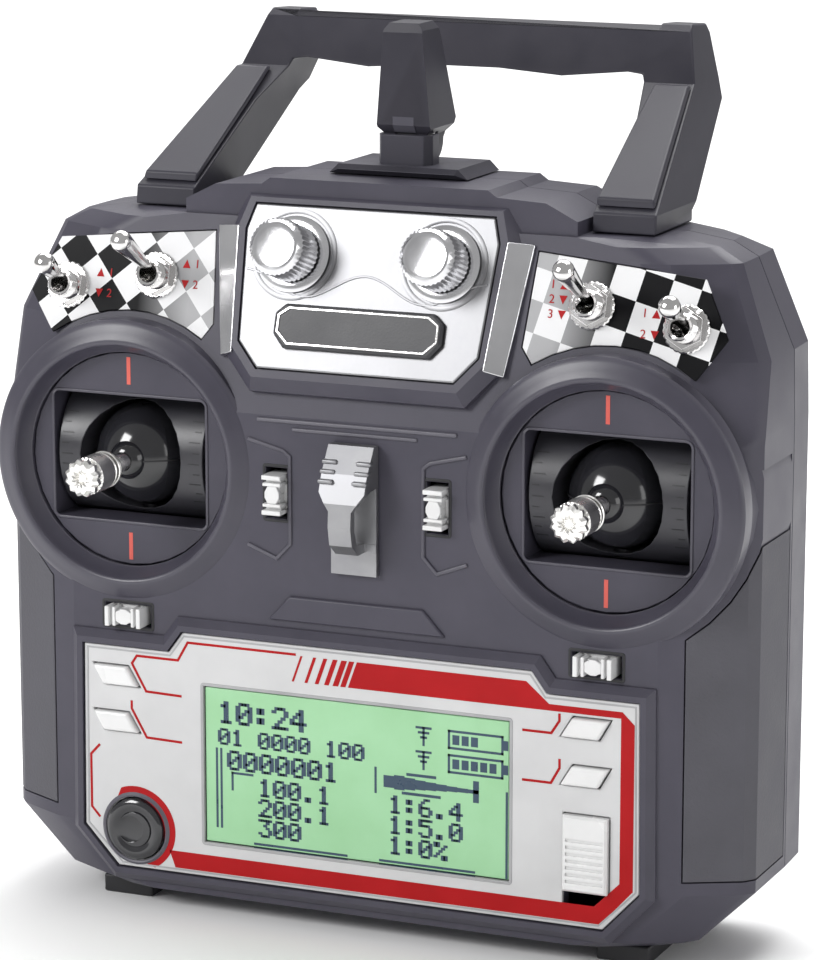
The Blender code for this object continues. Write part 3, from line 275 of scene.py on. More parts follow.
PLATE = chrome_material("plate_chrome", (0.22, 0.22, 0.23), (0.32, 0.32, 0.33),
                        (0.32, 0.44), (1.0, 1.0, 0.08))
KNOB = chrome_material("knob_chrome", (0.66, 0.66, 0.68), (0.8, 0.8, 0.82), (0.12, 0.22),
                       (1.0, 1.0, 1.0))
HOOK = chrome_material("hook_chrome", (0.27, 0.27, 0.285), (0.38, 0.38, 0.39), (0.42, 0.52),
                       (1.0, 1.0, 0.2))
STICK = chrome_material("stick_chrome", (0.86, 0.85, 0.82), (0.95, 0.94, 0.92),
                        (0.24, 0.34), (1.0, 1.0, 1.0))
CHROME = chrome_material("switch_chrome", (0.7, 0.69, 0.68), (0.84, 0.83, 0.83), (0.07, 0.16),
                         (1.0, 1.0, 1.0))
STEEL = chrome_material("zinc_steel", (0.42, 0.42, 0.43), (0.55, 0.55, 0.56), (0.3, 0.42),
                        (1.0, 1.0, 1.0))
WRAP = material("cell_sleeve", (0.02, 0.06, 0.2), (0.03, 0.08, 0.26), (0.2, 0.3), grain=900.0)
BOARD = material("board_mask", (0.015, 0.12, 0.04), (0.02, 0.15, 0.05), (0.3, 0.4),
                 grain=900.0)
CHEQUERS = {
    "left": chequer_material("chequer_left", radians(40)),
    "right": chequer_material("chequer_right", radians(-14)),
}


# ---------------------------------------------------------------- mesh helpers

def finished(name, bm, surface, body, bevel=0.0, segments=3, smooth=35.0, corner=None):
    """Makes a piece from a mesh, rounds its edges, and lets it ride on its body.

    In degrees, smooth is the angle above which an edge stays sharp, and corner the angle above which it is
    rounded.
    """
    bmesh.ops.recalc_face_normals(bm, faces=bm.faces)
    mesh = bpy.data.meshes.new(name)
    bm.to_mesh(mesh)
    bm.free()
    piece = bpy.data.objects.new(name, mesh)
    SCENE.collection.objects.link(piece)
    mesh.materials.append(surface)
    mesh.shade_smooth()
    mesh.set_sharp_from_angle(angle=radians(smooth))
    if bevel:
        rounding = piece.modifiers.new("rounding", "BEVEL")
        rounding.width = bevel
        rounding.segments = segments
        rounding.limit_method = "ANGLE"
        rounding.angle_limit = radians(corner or min(28.0, smooth))
        rounding.use_clamp_overlap = True
        flatness = piece.modifiers.new("flatness", "WEIGHTED_NORMAL")
        flatness.mode = "FACE_AREA"
        flatness.weight = 100
        flatness.keep_sharp = True
    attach(piece, body)
    return piece


def refined(node, surface, body, bevel, segments=3, smooth=13.0, corner=None):
    """Stands for a CAD node: its own mesh, made of whole faces again and with rounded edges."""
    bm = bmesh.new()
    bm.from_mesh(NODES[node].data)
    bmesh.ops.remove_doubles(bm, verts=bm.verts, dist=MERGE_DISTANCE)
    bmesh.ops.dissolve_limit(bm, angle_limit=FLAT_ANGLE, verts=bm.verts, edges=bm.edges)
    piece = finished(node + "_piece", bm, surface, body, bevel, segments, smooth, corner)
    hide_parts(node)
    return piece


def prism(name, outline, low, high, place, surface, body, bevel=0.0, segments=2, smooth=30.0):
    """A solid with a flat outline, from low to high along the frame's outward axis."""
    bm = bmesh.new()
    add_prism(bm, outline, low, high, place)
    return finished(name, bm, surface, body, bevel, segments, smooth)


def add_prism(bm, outline, low, high, place):
    """Adds a prism's faces to a mesh."""
    under = [bm.verts.new(place @ Vector((x, up, low))) for x, up in outline]
    over = [bm.verts.new(place @ Vector((x, up, high))) for x, up in outline]
    bm.faces.new(over)
    bm.faces.new(under[::-1])
    count = len(outline)
    for index in range(count):
        after = (index + 1) % count
        bm.faces.new((under[index], under[after], over[after], over[index]))


def lathe(name, profile, place, surface, body, steps=96, shape=None, bevel=0.0, smooth=35.0):
    """A turned solid about the frame's outward axis. shape(angle, r, out) may change the radius."""
    bm = bmesh.new()
    rings = []
    for radius, out in profile:
        if radius == 0:
            rings.append([bm.verts.new(place @ Vector((0, 0, out)))])
            continue
        turned = []
        for step in range(steps):
            angle = 2 * pi * step / steps
            r = shape(angle, radius, out) if shape else radius
            turned.append(bm.verts.new(place @ Vector((r * cos(angle), r * sin(angle), out))))
        rings.append(turned)
    closed = len(rings[0]) > 1 and len(rings[-1]) > 1
    pairs = list(zip(rings, rings[1:]))
    if closed:
        pairs.append((rings[-1], rings[0]))
    for first, second in pairs:
        for step in range(steps):
            after = (step + 1) % steps
            corners = [first[step % len(first)], first[after % len(first)],
                       second[after % len(second)], second[step % len(second)]]
            bm.faces.new(list(dict.fromkeys(corners)))
    return finished(name, bm, surface, body, bevel, 2, smooth)


def offset_path(points, distance, closed):
    """The points of a path moved sideways, with mitred corners."""
    moved = []
    count = len(points)
    for index in range(count):
        here = Vector(points[index])
        before = Vector(points[index - 1]) if closed or index > 0 else None
        after = Vector(points[(index + 1) % count]) if closed or index < count - 1 else None
        first = (here - before).normalized() if before else (after - here).normalized()
        second = (after - here).normalized() if after else first
        normal_a = Vector((-first.y, first.x))
        normal_b = Vector((-second.y, second.x))
        mitre = (normal_a + normal_b).normalized()
        moved.append(here + mitre * distance / max(mitre.dot(normal_a), 0.3))
    return moved


def add_strip(bm, points, width, low, high, place, closed=False):
    """Adds a solid line of one width along a path to a mesh."""
    left = offset_path(points, width / 2, closed)
    right = offset_path(points, -width / 2, closed)
    count = len(points)
    rows = []
    for a, b in zip(left, right):
        rows.append([bm.verts.new(place @ Vector((p.x, p.y, out)))
                     for p, out in ((a, low), (a, high), (b, high), (b, low))])
    for index in range(count if closed else count - 1):
        first, second = rows[index], rows[(index + 1) % count]
        for corner in range(4):
            after = (corner + 1) % 4
            bm.faces.new((first[corner], first[after], second[after], second[corner]))
    if not closed:
        bm.faces.new(rows[0])
        bm.faces.new(rows[-1][::-1])


def strip(name, paths, width, low, high, place, surface, body, closed=False, bevel=0.0):
    """One piece of raised or printed lines of one width."""
    bm = bmesh.new()
    for points in paths:
        add_strip(bm, points, width, low, high, place, closed)
    return finished(name, bm, surface, body, bevel, 2)


def mm(points):
    """Points in millimetres, as metres."""
    return [(x * MM, up * MM) for x, up in points]


def mirrored(half):
    """An outline from its right half."""
    return list(half) + [(-x, up) for x, up in reversed(half)]


def turned_round(points, side):
    """The same outline, for the other side too, with its direction kept."""
    return list(points) if side > 0 else [(-x, up) for x, up in reversed(points)]


def rectangle(left, right, low, high):
    return [(left, low), (right, low), (right, high), (left, high)]


def rounded(x, up, half_x, half_up, radius, steps=6):
    """A rectangle's outline with round corners."""
    outline = []
    for corner, (sx, sy) in enumerate(((1, 1), (-1, 1), (-1, -1), (1, -1))):
        for step in range(steps + 1):
            angle = pi / 2 * (corner + step / steps)
            outline.append((x + sx * (half_x - radius) + radius * cos(angle),
                            up + sy * (half_up - radius) + radius * sin(angle)))
    return outline


def arc(centre, radius, start, end, steps):
    """Points on a circle, between two angles in degrees."""
    turns = [radians(start + (end - start) * step / steps) for step in range(steps + 1)]
    return [(centre[0] + radius * cos(turn), centre[1] + radius * sin(turn)) for turn in turns]


def number(name, text, size, x, up, out, place, surface, body):
    """A plain digit lying on a surface."""
    curve = bpy.data.curves.new(name, "FONT")
    curve.body = text
    curve.size = size
    curve.extrude = DIGIT_DEPTH
    curve.align_x = "CENTER"
    curve.align_y = "CENTER"
    curve.materials.append(surface)
    digit = bpy.data.objects.new(name, curve)
    SCENE.collection.objects.link(digit)
    digit.matrix_world = place @ Matrix.Translation((x, up, out))
    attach(digit, body)


# ---------------------------------------------------------------- casing

def casing():
    """The shells, grips, feet, handle, antenna and screws, and plain finishes for the inner parts."""
    refined("front_shell", BODY, "casing", 0.7 * MM, smooth=25.0)
    refined("rear_shell", BODY, "casing", 0.8 * MM, smooth=10.0, corner=28.0)
    refined("battery_cover", BODY, "battery_cover", 0.4 * MM)
    for _, word in SIDES:
        refined(f"{word}_grip", GRIP, "casing", 0.6 * MM)
        refined(f"{word}_foot", DARK, "casing", 0.6 * MM)
        refined(f"handle_cover_{word}", HANDLE, "casing", 0.5 * MM, smooth=25.0)
    refined("handle_frame", HANDLE, "casing", 0.9 * MM, smooth=30.0)
    refined("antenna_stand", HANDLE, "casing", 0.5 * MM)
    refined("antenna_paddle", HANDLE, "antenna", 0.5 * MM)
    antenna_neck()
    for index in range(1, 5):
        refined(f"case_screw_{index}", STEEL, "casing", 0.2 * MM)
    refined("antenna_pin", STEEL, "casing", 0.2 * MM)
    plain = {"battery_pack": WRAP, "main_board": BOARD, "gimbal_frame_left": DARK,
             "gimbal_frame_right": DARK, "pot_body_left": STEEL, "pot_body_right": STEEL}
    for node, surface in plain.items():
        NODES[node].data.materials.clear()
        NODES[node].data.materials.append(surface)


def antenna_neck():
    """A collar on the stand round the paddle's fork, and a plug in the fork's front gap."""
    low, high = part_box("antenna_pin")
    axis = (low + high) / 2
    place = Matrix.Translation(axis) @ Matrix.Scale(-1, 4, (0, 1, 0))
    outline = mm([(-6.2, 1.0), (-6.2, 4.6), (-4.9, 6.7), (4.9, 6.7), (6.2, 4.6), (6.2, 1.0), (5.15, 1.0),
                  (5.15, 5.0), (-5.15, 5.0), (-5.15, 1.0)])
    prism("antenna_neck", outline, -5.6 * MM, 1.4 * MM, place, HANDLE, "casing", 0.2 * MM)
    sideways = Matrix.Translation(axis) @ Matrix(((0, 0, -1, 0), (-1, 0, 0, 0), (0, 1, 0, 0), (0, 0, 0, 1)))
    plug = mm([(4.6, 1.75), (4.95, 1.75), (6.2, 3.38), (6.22, 5.2), (4.6, 5.2)])
    prism("antenna_plug", plug, -2.45 * MM, 2.45 * MM, sideways, HANDLE, "antenna")


def ring(side, word):
    """The stick unit's raised ring, with its steep inner side and its crest."""
    profile = [
        (23.65, 0.1), (23.62, 0.75), (23.9, 1.0), (25.45, 4.0), (25.75, 4.55), (26.15, 4.85),
        (26.6, 4.92), (27.0, 4.8), (28.3, 4.1), (29.7, 3.42), (30.6, 3.05), (30.95, 2.6),
        (31.0, 1.5), (31.0, -1.5), (28.0, -2.0), (25.0, 0.05),
    ]
    place = gimbal_plane(side)
    lathe(f"ring_{word}", mm(profile), place, BODY_SMOOTH, "casing", 160)


def face_details():
    """Two thin raised lines, the raised outlines round the upright trims and the pad below the hook."""
    strip("centre_line_high", [mm([(-23.0, 12.0), (23.0, 12.0)])], 0.9 * MM, -0.4 * MM, 0.45 * MM, FACE,
          BODY_SMOOTH, "casing", bevel=0.25 * MM)
    strip("centre_line_low", [mm([(-14.8, 10.3), (14.0, 10.3)])], 0.8 * MM, -0.4 * MM, 0.4 * MM, FACE,
          BODY_SMOOTH, "casing", bevel=0.22 * MM)
    for side, word in SIDES:
        inner = [(25.2, 7.6), (17.0, 5.6), (15.4, 4.4), (15.4, -14.6), (18.6, -18.0), (25.4, -15.4)]
        outline = turned_round(mm(inner), side)
        strip(f"trim_recess_{word}", [outline], 0.8 * MM, -0.3 * MM, 0.42 * MM, FACE, BODY_SMOOTH,
              "casing", bevel=0.2 * MM)
    pad = mm([(-20.5, -31.5), (20.5, -31.5), (15.5, -26.0), (-15.5, -26.0)])
    prism("hook_pad", pad, -0.5 * MM, 0.8 * MM, FACE, BODY, "casing", 0.4 * MM)


# The steps of half a spool in millimetres: near and far ends, half width, and height.
SPOOL_STEPS = ((3.3, 4.3, 2.2, 3.0), (1.9, 2.6, 2.1, 2.7), (2.5, 3.4, 1.7, 1.6), (0.0, 2.0, 1.5, 1.6))


def trims():
    """White spools in black slots: two ribs at each end and a faceted waist between them."""
    for name in ("trim_left_side", "trim_left_up", "trim_right_up", "trim_right_side"):
        low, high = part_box(name)
        centre = (low + high) / 2
        sideways = high.x - low.x > high.z - low.z
        place = plane(centre.x, 0, centre.z - GIMBAL_UP)
        if not sideways:
            place = place @ Matrix.Rotation(pi / 2, 4, "Z")
        bm = bmesh.new()
        for end in (-1, 1):
            for near, far, wide, out in SPOOL_STEPS:
                a, b = sorted((end * near, end * far))
                add_prism(bm, mm(rectangle(a, b, -wide, wide)), -1.0 * MM, out * MM, place)
        waist = mm([(-1.9, -1.0), (-0.6, -1.7), (0.6, -1.7), (1.9, -1.0), (1.9, 1.0), (0.6, 1.7),
                    (-0.6, 1.7), (-1.9, 1.0)])
        add_prism(bm, waist, 1.2 * MM, 2.5 * MM, place)
        add_prism(bm, mm(rectangle(-4.3, 4.3, -2.2, 2.2)), -4.5 * MM, -0.8 * MM, place)
        spool = finished(name + "_spool", bm, WHITE, name, 0.16 * MM, 2)
        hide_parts(name)
        bm = bmesh.new()
        slot = rounded(0, 0, 6.0 * MM, 2.9 * MM, 0.4 * MM)
        add_strip(bm, slot, 0.6 * MM, -0.6 * MM, 0.12 * MM, place, True)
        finished(name + "_frame", bm, DARK, "casing", 0.1 * MM, 2)


# ---------------------------------------------------------------- stick units

def tooth(count, amount):
    """A radius with a row of teeth round it."""
    def shape(angle, radius, out):
        wave = abs(((angle * count / (2 * pi)) % 1.0) * 2 - 1)
        return radius - amount * wave
    return shape


def diamond(count, amount, pitch):
    """A radius with a crossed knurl."""
    def shape(angle, radius, out):
        first = sin(count * angle + 2 * pi * out / pitch)
        second = sin(count * angle - 2 * pi * out / pitch)
        return radius + amount * (abs(first) + abs(second) - 1.0) / 2
    return shape


def stick(side, word):
    """The stick's crown, its knurled barrel, its lock rings and its threaded shaft."""
    centre = gimbal_plane(side)
    body = f"stick_{word}"
    tip = STICK_END
    crown = [(0, tip - 0.9), (1.2, tip - 0.9), (1.6, tip - 0.35), (2.2, tip), (3.3, tip), (4.1, tip - 0.9),
             (4.15, tip - 2.0), (3.9, tip - 2.6), (3.2, tip - 2.9), (0, tip - 2.9)]
    lathe(f"crown_{word}", mm(crown), centre, STICK, body, 96, tooth(12, 0.55 * MM), smooth=20)
    barrel = [(3.1, tip - 2.7)]
    barrel += [(3.95, tip - 3.1 - 0.16 * row) for row in range(36)]
    barrel += [(3.4, tip - 8.9), (2.3, tip - 9.0)]
    lathe(f"barrel_{word}", [(0, (tip - 2.7) * MM)] + mm(barrel) + [(0, (tip - 9.0) * MM)], centre, STICK,
          body, 144, diamond(14, 0.2 * MM, 1.5 * MM), smooth=60)
    for index, (radius, out) in enumerate(((3.9, tip - 9.6), (4.0, tip - 11.0), (3.7, tip - 12.0))):
        profile = mm([(2.2, out - 0.35), (2.2, out + 0.35), (radius - 0.2, out + 0.4), (radius, out + 0.15),
                      (radius, out - 0.15), (radius - 0.2, out - 0.4)])
        lathe(f"lock_ring_{word}_{index}", profile, centre, STICK, body, 72)
    thread = [(0, tip - 8.0)]
    for row in range(26):
        radius = 1.95 if row % 2 else 1.7
        thread.append((radius, tip - 8.2 - 0.55 * row))
    thread.append((0, tip - 8.2 - 0.55 * 25 - 5.0))
    shaft = lathe(f"shaft_{word}", mm(thread), centre, STICK, body, 32)
    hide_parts(f"stick_shaft_{word}", f"stick_tip_{word}")


def ball(side, word):
    """The polished dome, its seam and the boot round the stick."""
    turn = plane(side * GIMBAL_X, -GIMBAL_DEPTH - BALL_SINK, 0)
    body = f"stick_{word}"
    radius = BALL_RADIUS
    profile = [(radius * sin(radians(step)), radius * cos(radians(step))) for step in range(12, 112, 4)]
    profile = [(2.2, 9.8)] + [(max(r, 2.3), out) for r, out in profile] + [(2.2, -4.0)]
    dome = lathe(f"dome_{word}", mm(profile), turn, GLOSS, body, 96)
    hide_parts(f"ball_{word}")
    boot = mm([(2.05, 12.4), (2.7, 12.2), (3.3, 11.6), (3.9, 10.9), (4.3, 10.2), (2.1, 9.6)])
    lathe(f"boot_{word}", boot, turn, GLOSS, body, 64)
    bm = bmesh.new()
    seam_radius = (radius + 0.05) * MM
    for start, end in ((14, 78), (102, 166)):
        points = arc((0, 0), seam_radius, start, end, 28)
        across = Matrix.Rotation(radians(90), 4, "X")
        add_strip(bm, points, 0.3 * MM, -0.14 * MM, 0.14 * MM, turn @ across)
    finished(f"dome_seam_{word}", bm, DARK, body)


def gimbal(side, word):
    """A whole stick unit: ring, plate, drum, ball, stick, red marks and window rim."""
    centre = gimbal_plane(side)
    ring(side, word)
    refined(f"gimbal_plate_{word}", BODY, "casing", 0.45 * MM)
    tilt = f"stick_tilt_{word}"
    refined(f"drum_{word}", DRUM, tilt, 0.3 * MM)
    ball(side, word)
    stick(side, word)
    for up, level in ((MARK_UP, "high"), (-MARK_UP, "low")):
        mark = mm(rectangle(-0.45, 0.45, up - 3.0, up + 3.0))
        prism(f"mark_{word}_{level}", mark, -FILM, 0.06 * MM, centre, MARK, "casing")
    bm = bmesh.new()
    window = rounded(0, 0, 18.6 * MM, 14.2 * MM, 1.6 * MM)
    add_strip(bm, window, 0.7 * MM, -0.2 * MM, 0.25 * MM, centre, True)
    finished(f"window_rim_{word}", bm, BODY_SMOOTH, "casing", 0.2 * MM, 2)
    drum_ticks(side, word, tilt)


def drum_ticks(side, word, body):
    """Scale marks on the drum's cheeks."""
    axis_out = -GIMBAL_DEPTH - DRUM_SINK
    bm = bmesh.new()
    for hand in (-1, 1):
        for step in range(-4, 5):
            turn = Matrix.Rotation(radians(step * 9.0), 4, "X")
            place = plane(side * GIMBAL_X, axis_out, 0) @ turn
            length = 2.6 * MM if step % 2 == 0 else 1.5 * MM
            x = hand * 16.6 * MM
            edge = hand * (abs(x) - length)
            low, high = sorted((x, edge))
            outline = rectangle(low, high, -0.12 * MM, 0.12 * MM)
            add_prism(bm, outline, DRUM_RADIUS - 0.1 * MM, DRUM_RADIUS + 0.06 * MM, place)
    finished(f"drum_ticks_{word}", bm, DARK, body)


# ---------------------------------------------------------------- controls

def control_plate():
    """The bright plate, its blank badge, its wave line, its knobs and the bars at its sides."""
    refined("control_plate", PLATE, "casing", 0.3 * MM)
    refined("name_badge", BADGE, "casing", 0.3 * MM)
    front = PLATFORM_OUT
    half = mm([(15.6, 14.8), (18.2, 17.3), (18.2, 20.8), (15.9, 22.4)])
    strip("badge_frame", [mirrored(half)], 0.5 * MM, front + 1.1 * MM, front + 1.6 * MM, PLATFORM, CHROME,
          "casing", closed=True, bevel=0.12 * MM)
    wave = []
    for step in range(41):
        x = -27.6 + 55.2 * step / 40
        wave.append((x * MM, (29.2 + 2.6 * cos(x / 27.6 * 2 * pi) - 1.5) * MM))
    strip("plate_wave", [wave], 0.5 * MM, front - 0.2 * MM, front + 0.22 * MM, PLATFORM, PLATE, "casing",
          bevel=0.12 * MM)
    for side, word in SIDES:
        knob(side, word)
        platform_bar(side, word)


def platform_bar(side, word):
    """The bright bar along the platform's side, sloping from its rim down to the shoulder."""
    corners = ((28.8, 12.2, 4.72), (32.6, 11.6, 1.9), (36.4, 39.6, 3.1), (30.8, 39.6, 4.72))
    bm = bmesh.new()
    over = [bm.verts.new(PLATFORM @ (Vector((side * x, up, out)) * MM)) for x, up, out in corners]
    under = [bm.verts.new(PLATFORM @ (Vector((side * x, up, -0.5)) * MM)) for x, up, _ in corners]
    bm.faces.new(over)
    bm.faces.new(under[::-1])
    for index in range(4):
        after = (index + 1) % 4
        bm.faces.new((under[index], under[after], over[after], over[index]))
    finished(f"platform_bar_{word}", bm, KNOB, "casing", 0.25 * MM)


def knob(side, word):
    """A knurled cap with a rounded rim, its dished skirt and the collar on the plate."""
    place = PLATFORM @ Matrix.Translation((side * KNOB_PLACE[0], KNOB_PLACE[1], PLATFORM_OUT))
    body = f"knob_{word}"
    cap = [(0, 10.2), (3.9, 10.2), (4.6, 10.35), (5.1, 10.2), (5.75, 9.5)]
    side_line = [(6.25, 9.3 - 0.5 * row) for row in range(15)]
    profile = mm(cap + side_line + [(6.3, 1.7), (3.5, 1.6), (3.5, 7.0), (0, 7.0)])
    teeth = tooth(KNOB_TEETH, KNOB_TOOTH)

    def shape(angle, radius, out):
        return teeth(angle, radius, out) if radius > 6.2 * MM else radius

    cap_piece = lathe(f"knob_cap_{word}", profile, place, KNOB, body, 144, shape, smooth=25)
    dish = mm([(5.4, 0.3), (5.5, 0.9), (6.6, 1.0), (7.7, 0.85), (8.25, 0.55), (8.3, 0.3)])
    lathe(f"knob_skirt_{word}", dish, place, KNOB, body, 96)
    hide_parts(f"knob_{word}")
    collar = mm([(8.7, -0.3), (8.8, 0.12), (9.3, 0.22), (9.9, 0.12), (10.0, -0.3)])
    lathe(f"knob_collar_{word}", collar, place, PLATE, "casing", 96)


# Each switch's place on the front in millimetres and its lever's length.
SWITCHES = {"a": (-71, 36.7, 12), "b": (-50, 40, 18.5), "c": (50, 40, 18.5), "d": (71, 36.7, 12)}


def switches():
    """The chequered plates, and each switch's body, washer, bushing and bat lever."""
    for _, word in SIDES:
        refined(f"switch_plate_{word}", CHEQUERS[word], "casing", 0.15 * MM, 2)
    for name, (x, up, length) in SWITCHES.items():
        place = SHOULDER @ Matrix.Translation((*on_shoulder(x * MM, up * MM), 0))
        refined(f"switch_{name}_body", CHROME, "casing", 0.25 * MM)
        washer = mm([(3.1, 0.05), (3.1, 0.75), (4.9, 0.75), (5.2, 0.5), (5.2, 0.05)])
        lathe(f"washer_{name}", washer, place, CHROME, "casing", 72, tooth(24, 0.3 * MM))
        threads = [(2.0, 2.0)]
        threads += [(3.05 if row % 2 else 2.8, 2.2 + 0.22 * row) for row in range(11)]
        threads += [(2.6, 4.75), (2.1, 4.6)]
        lathe(f"bushing_{name}", mm(threads), place, CHROME, "casing", 48)
        lean = place @ Matrix.Translation((0, 0, 0.6 * MM)) @ Matrix.Rotation(-LEVER_TILT, 4, "X")
        bat = [(0, -1.2), (0.9, -0.9), (1.05, 0), (1.1, 4.0), (1.45, length * 0.5), (1.95, length * 0.78),
               (2.25, length - 0.6), (2.3, length + 0.3), (2.15, length + 1.0), (1.7, length + 1.6),
               (0.95, length + 2.0), (0, length + 2.1)]
        lever = lathe(f"bat_{name}", mm(bat), lean, CHROME, f"lever_{name}", 48, smooth=60)
        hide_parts(f"switch_{name}_lever")
    switch_marks()


def switch_marks():
    """Plain red numbers and arrows beside the switches.

    A column is its x, its top, its count, its spacing, and 1 with the arrows at the left or -1 at the right.
    """
    columns = {"a": (-62.5, 39.8, 2, 4.3, 1), "b": (-42.1, 42.8, 2, 4.3, 1), "c": (42.4, 43.8, 3, 3.0, -1),
               "d": (63.0, 39.3, 2, 4.2, -1)}
    for name, (x, up, count, pitch, order) in columns.items():
        for index in range(count):
            px, pv = on_shoulder(x * MM, (up - pitch * index) * MM)
            number(f"switch_number_{name}_{index + 1}", str(index + 1), DIGIT_SIZE, px + order * 1.4 * MM,
                   pv, FILM, SHOULDER, RED, "casing")
            tip = 0.9 * MM if index == 0 else -0.9 * MM
            middle = px - order * 1.1 * MM
            arrow = [(middle - 0.9 * MM, pv - tip), (middle + 0.9 * MM, pv - tip), (middle, pv + tip)]
            prism(f"switch_arrow_{name}_{index + 1}", arrow if index == 0 else arrow[::-1], 0.01 * MM,
                  0.08 * MM, SHOULDER, RED, "casing")


def hook():
    """The strap hook and the three ribs at each side of its chevron."""
    refined("strap_hook", HOOK, "casing", 0.45 * MM)
    for side, word in SIDES:
        for index in range(3):
            up = (5.2 - 1.9 * index) * MM
            low, high = sorted((side * 2.2 * MM, side * 5.6 * MM))
            half = 0.45 * MM
            outline = rectangle(low, high, up - half, up + half)
            out = (4.6 + 1.15 * index) * MM
            prism(f"hook_rib_{word}_{index}", outline, out - 1.2 * MM, out + 0.75 * MM, FACE, HOOK,
                  "casing", 0.3 * MM)


# ---------------------------------------------------------------- display panel

# Each sign is 5 cells wide and 7 high: one two-digit hexadecimal number for each row.
GLYPHS = {
    "0": "0E11131519110E", "1": "040C040404040E", "2": "0E11010204081F", "3": "1F02040201110E",
    "4": "02060A121F0202", "5": "1F101E0101110E", "6": "0608101E11110E", "7": "1F010204080808",
    "8": "0E11110E11110E", "9": "0E11110F01020C", ":": "000C0C000C0C00", ".": "00000000000C0C",
    "%": "18190204081303", " ": "00000000000000",
}
# A cell's size, and how much wider than a cell each lit cell is drawn.
CELL = 0.53 * MM
BOLD = 1.7
LCD_LEFT = -33.6 * MM
LCD_TOP = -49.6 * MM


def text_cells(text, column, row, scale=1):
    """The lit cells of a line of digits, from its top left cell."""
    cells = []
    for place, letter in enumerate(text):
        rows = GLYPHS[letter]
        for line in range(7):
            bits = int(rows[2 * line:2 * line + 2], 16)
            for bit in range(5):
                if bits >> (4 - bit) & 1:
                    across = column + (place * 6 + bit) * scale
                    cells.append((across, row + line * scale, BOLD * scale, scale))
    return cells


def box_cells(column, row, width, height):
    """The cells of a rectangle's outline."""
    return [(column, row, width, 1), (column, row + height - 1, width, 1),
            (column, row, 1, height), (column + width - 1, row, 1, height)]


def display_cells():
    """The lit cells: digits, two aerials and batteries, a plain aeroplane and thin lines."""
    cells = text_cells("10:24", 2, 2, 1.35)
    cells += text_cells("01 0000 100", 2, 13.5)
    cells += text_cells("0000001", 6, 22.5, 1.2)
    for line, (label, value) in enumerate((("100.1", "1:6.4"), ("200.1", "1:5.0"), ("300", "1:0%"))):
        row = 33 + 8.6 * line
        cells += text_cells(label, 20, row, 1.1) + text_cells(value, 78, row, 1.1)
    for index in range(2):
        row = 3 + 10 * index
        cells += box_cells(104, row, 24, 8) + [(128, row + 2, 2, 4)]
        cells += [(106 + 4 * bar, row + 2, 3, 4) for bar in range(3 + 2 * index)]
        cells += [(90, row, 7, 1), (91, row + 2, 5, 1), (92, row + 4, 3, 1), (93, row, 1, 8)]
    for step, height in enumerate((5, 6, 5, 4, 3.4, 2.8, 2.2, 1.8, 1.6)):
        cells.append((76 + 4.6 * step, 27.5 - height / 2, 4.6, height))
    cells += [(72, 22, 1, 11), (86, 23, 13, 1.2), (84, 31, 17, 1.2), (115, 23, 2.5, 9)]
    cells += [(1, 22, 1, 34), (3, 22, 1, 34), (129, 26, 1, 36), (131, 26, 1, 36)]
    cells += [(8, 31.5, 10, 1), (8, 31.5, 1, 8)]
    for row in (60.5, 62.5):
        cells += [(18, row, 42, 1), (74, row, 42, 1)]
    return cells


def display():
    """The overlay, the glass, the figures on it and the silver rim."""
    refined("display_overlay", PANEL, "casing", 0.2 * MM, 2)
    refined("lcd_panel", GLASS, "casing", 0.2 * MM, 2)
    bm = bmesh.new()
    top = PANEL_OUT - 0.4 * MM
    for column, row, width, height in display_cells():
        x0 = LCD_LEFT + column * CELL
        x1 = x0 + width * CELL
        up1 = LCD_TOP - row * CELL
        up0 = up1 - height * CELL
        add_prism(bm, rectangle(x0, x1, up0, up1), top - FILM, top + 0.03 * MM, FACE)
    finished("lcd_figures", bm, INK, "casing")
    window = rounded(0, -65.25 * MM, 36.1 * MM, 17.95 * MM, 0.5 * MM)
    bm = bmesh.new()
    add_strip(bm, window, 0.7 * MM, PANEL_OUT - 0.3 * MM, PANEL_OUT + 0.12 * MM, FACE, True)
    finished("lcd_rim", bm, SILVER, "casing", 0.1 * MM, 2)


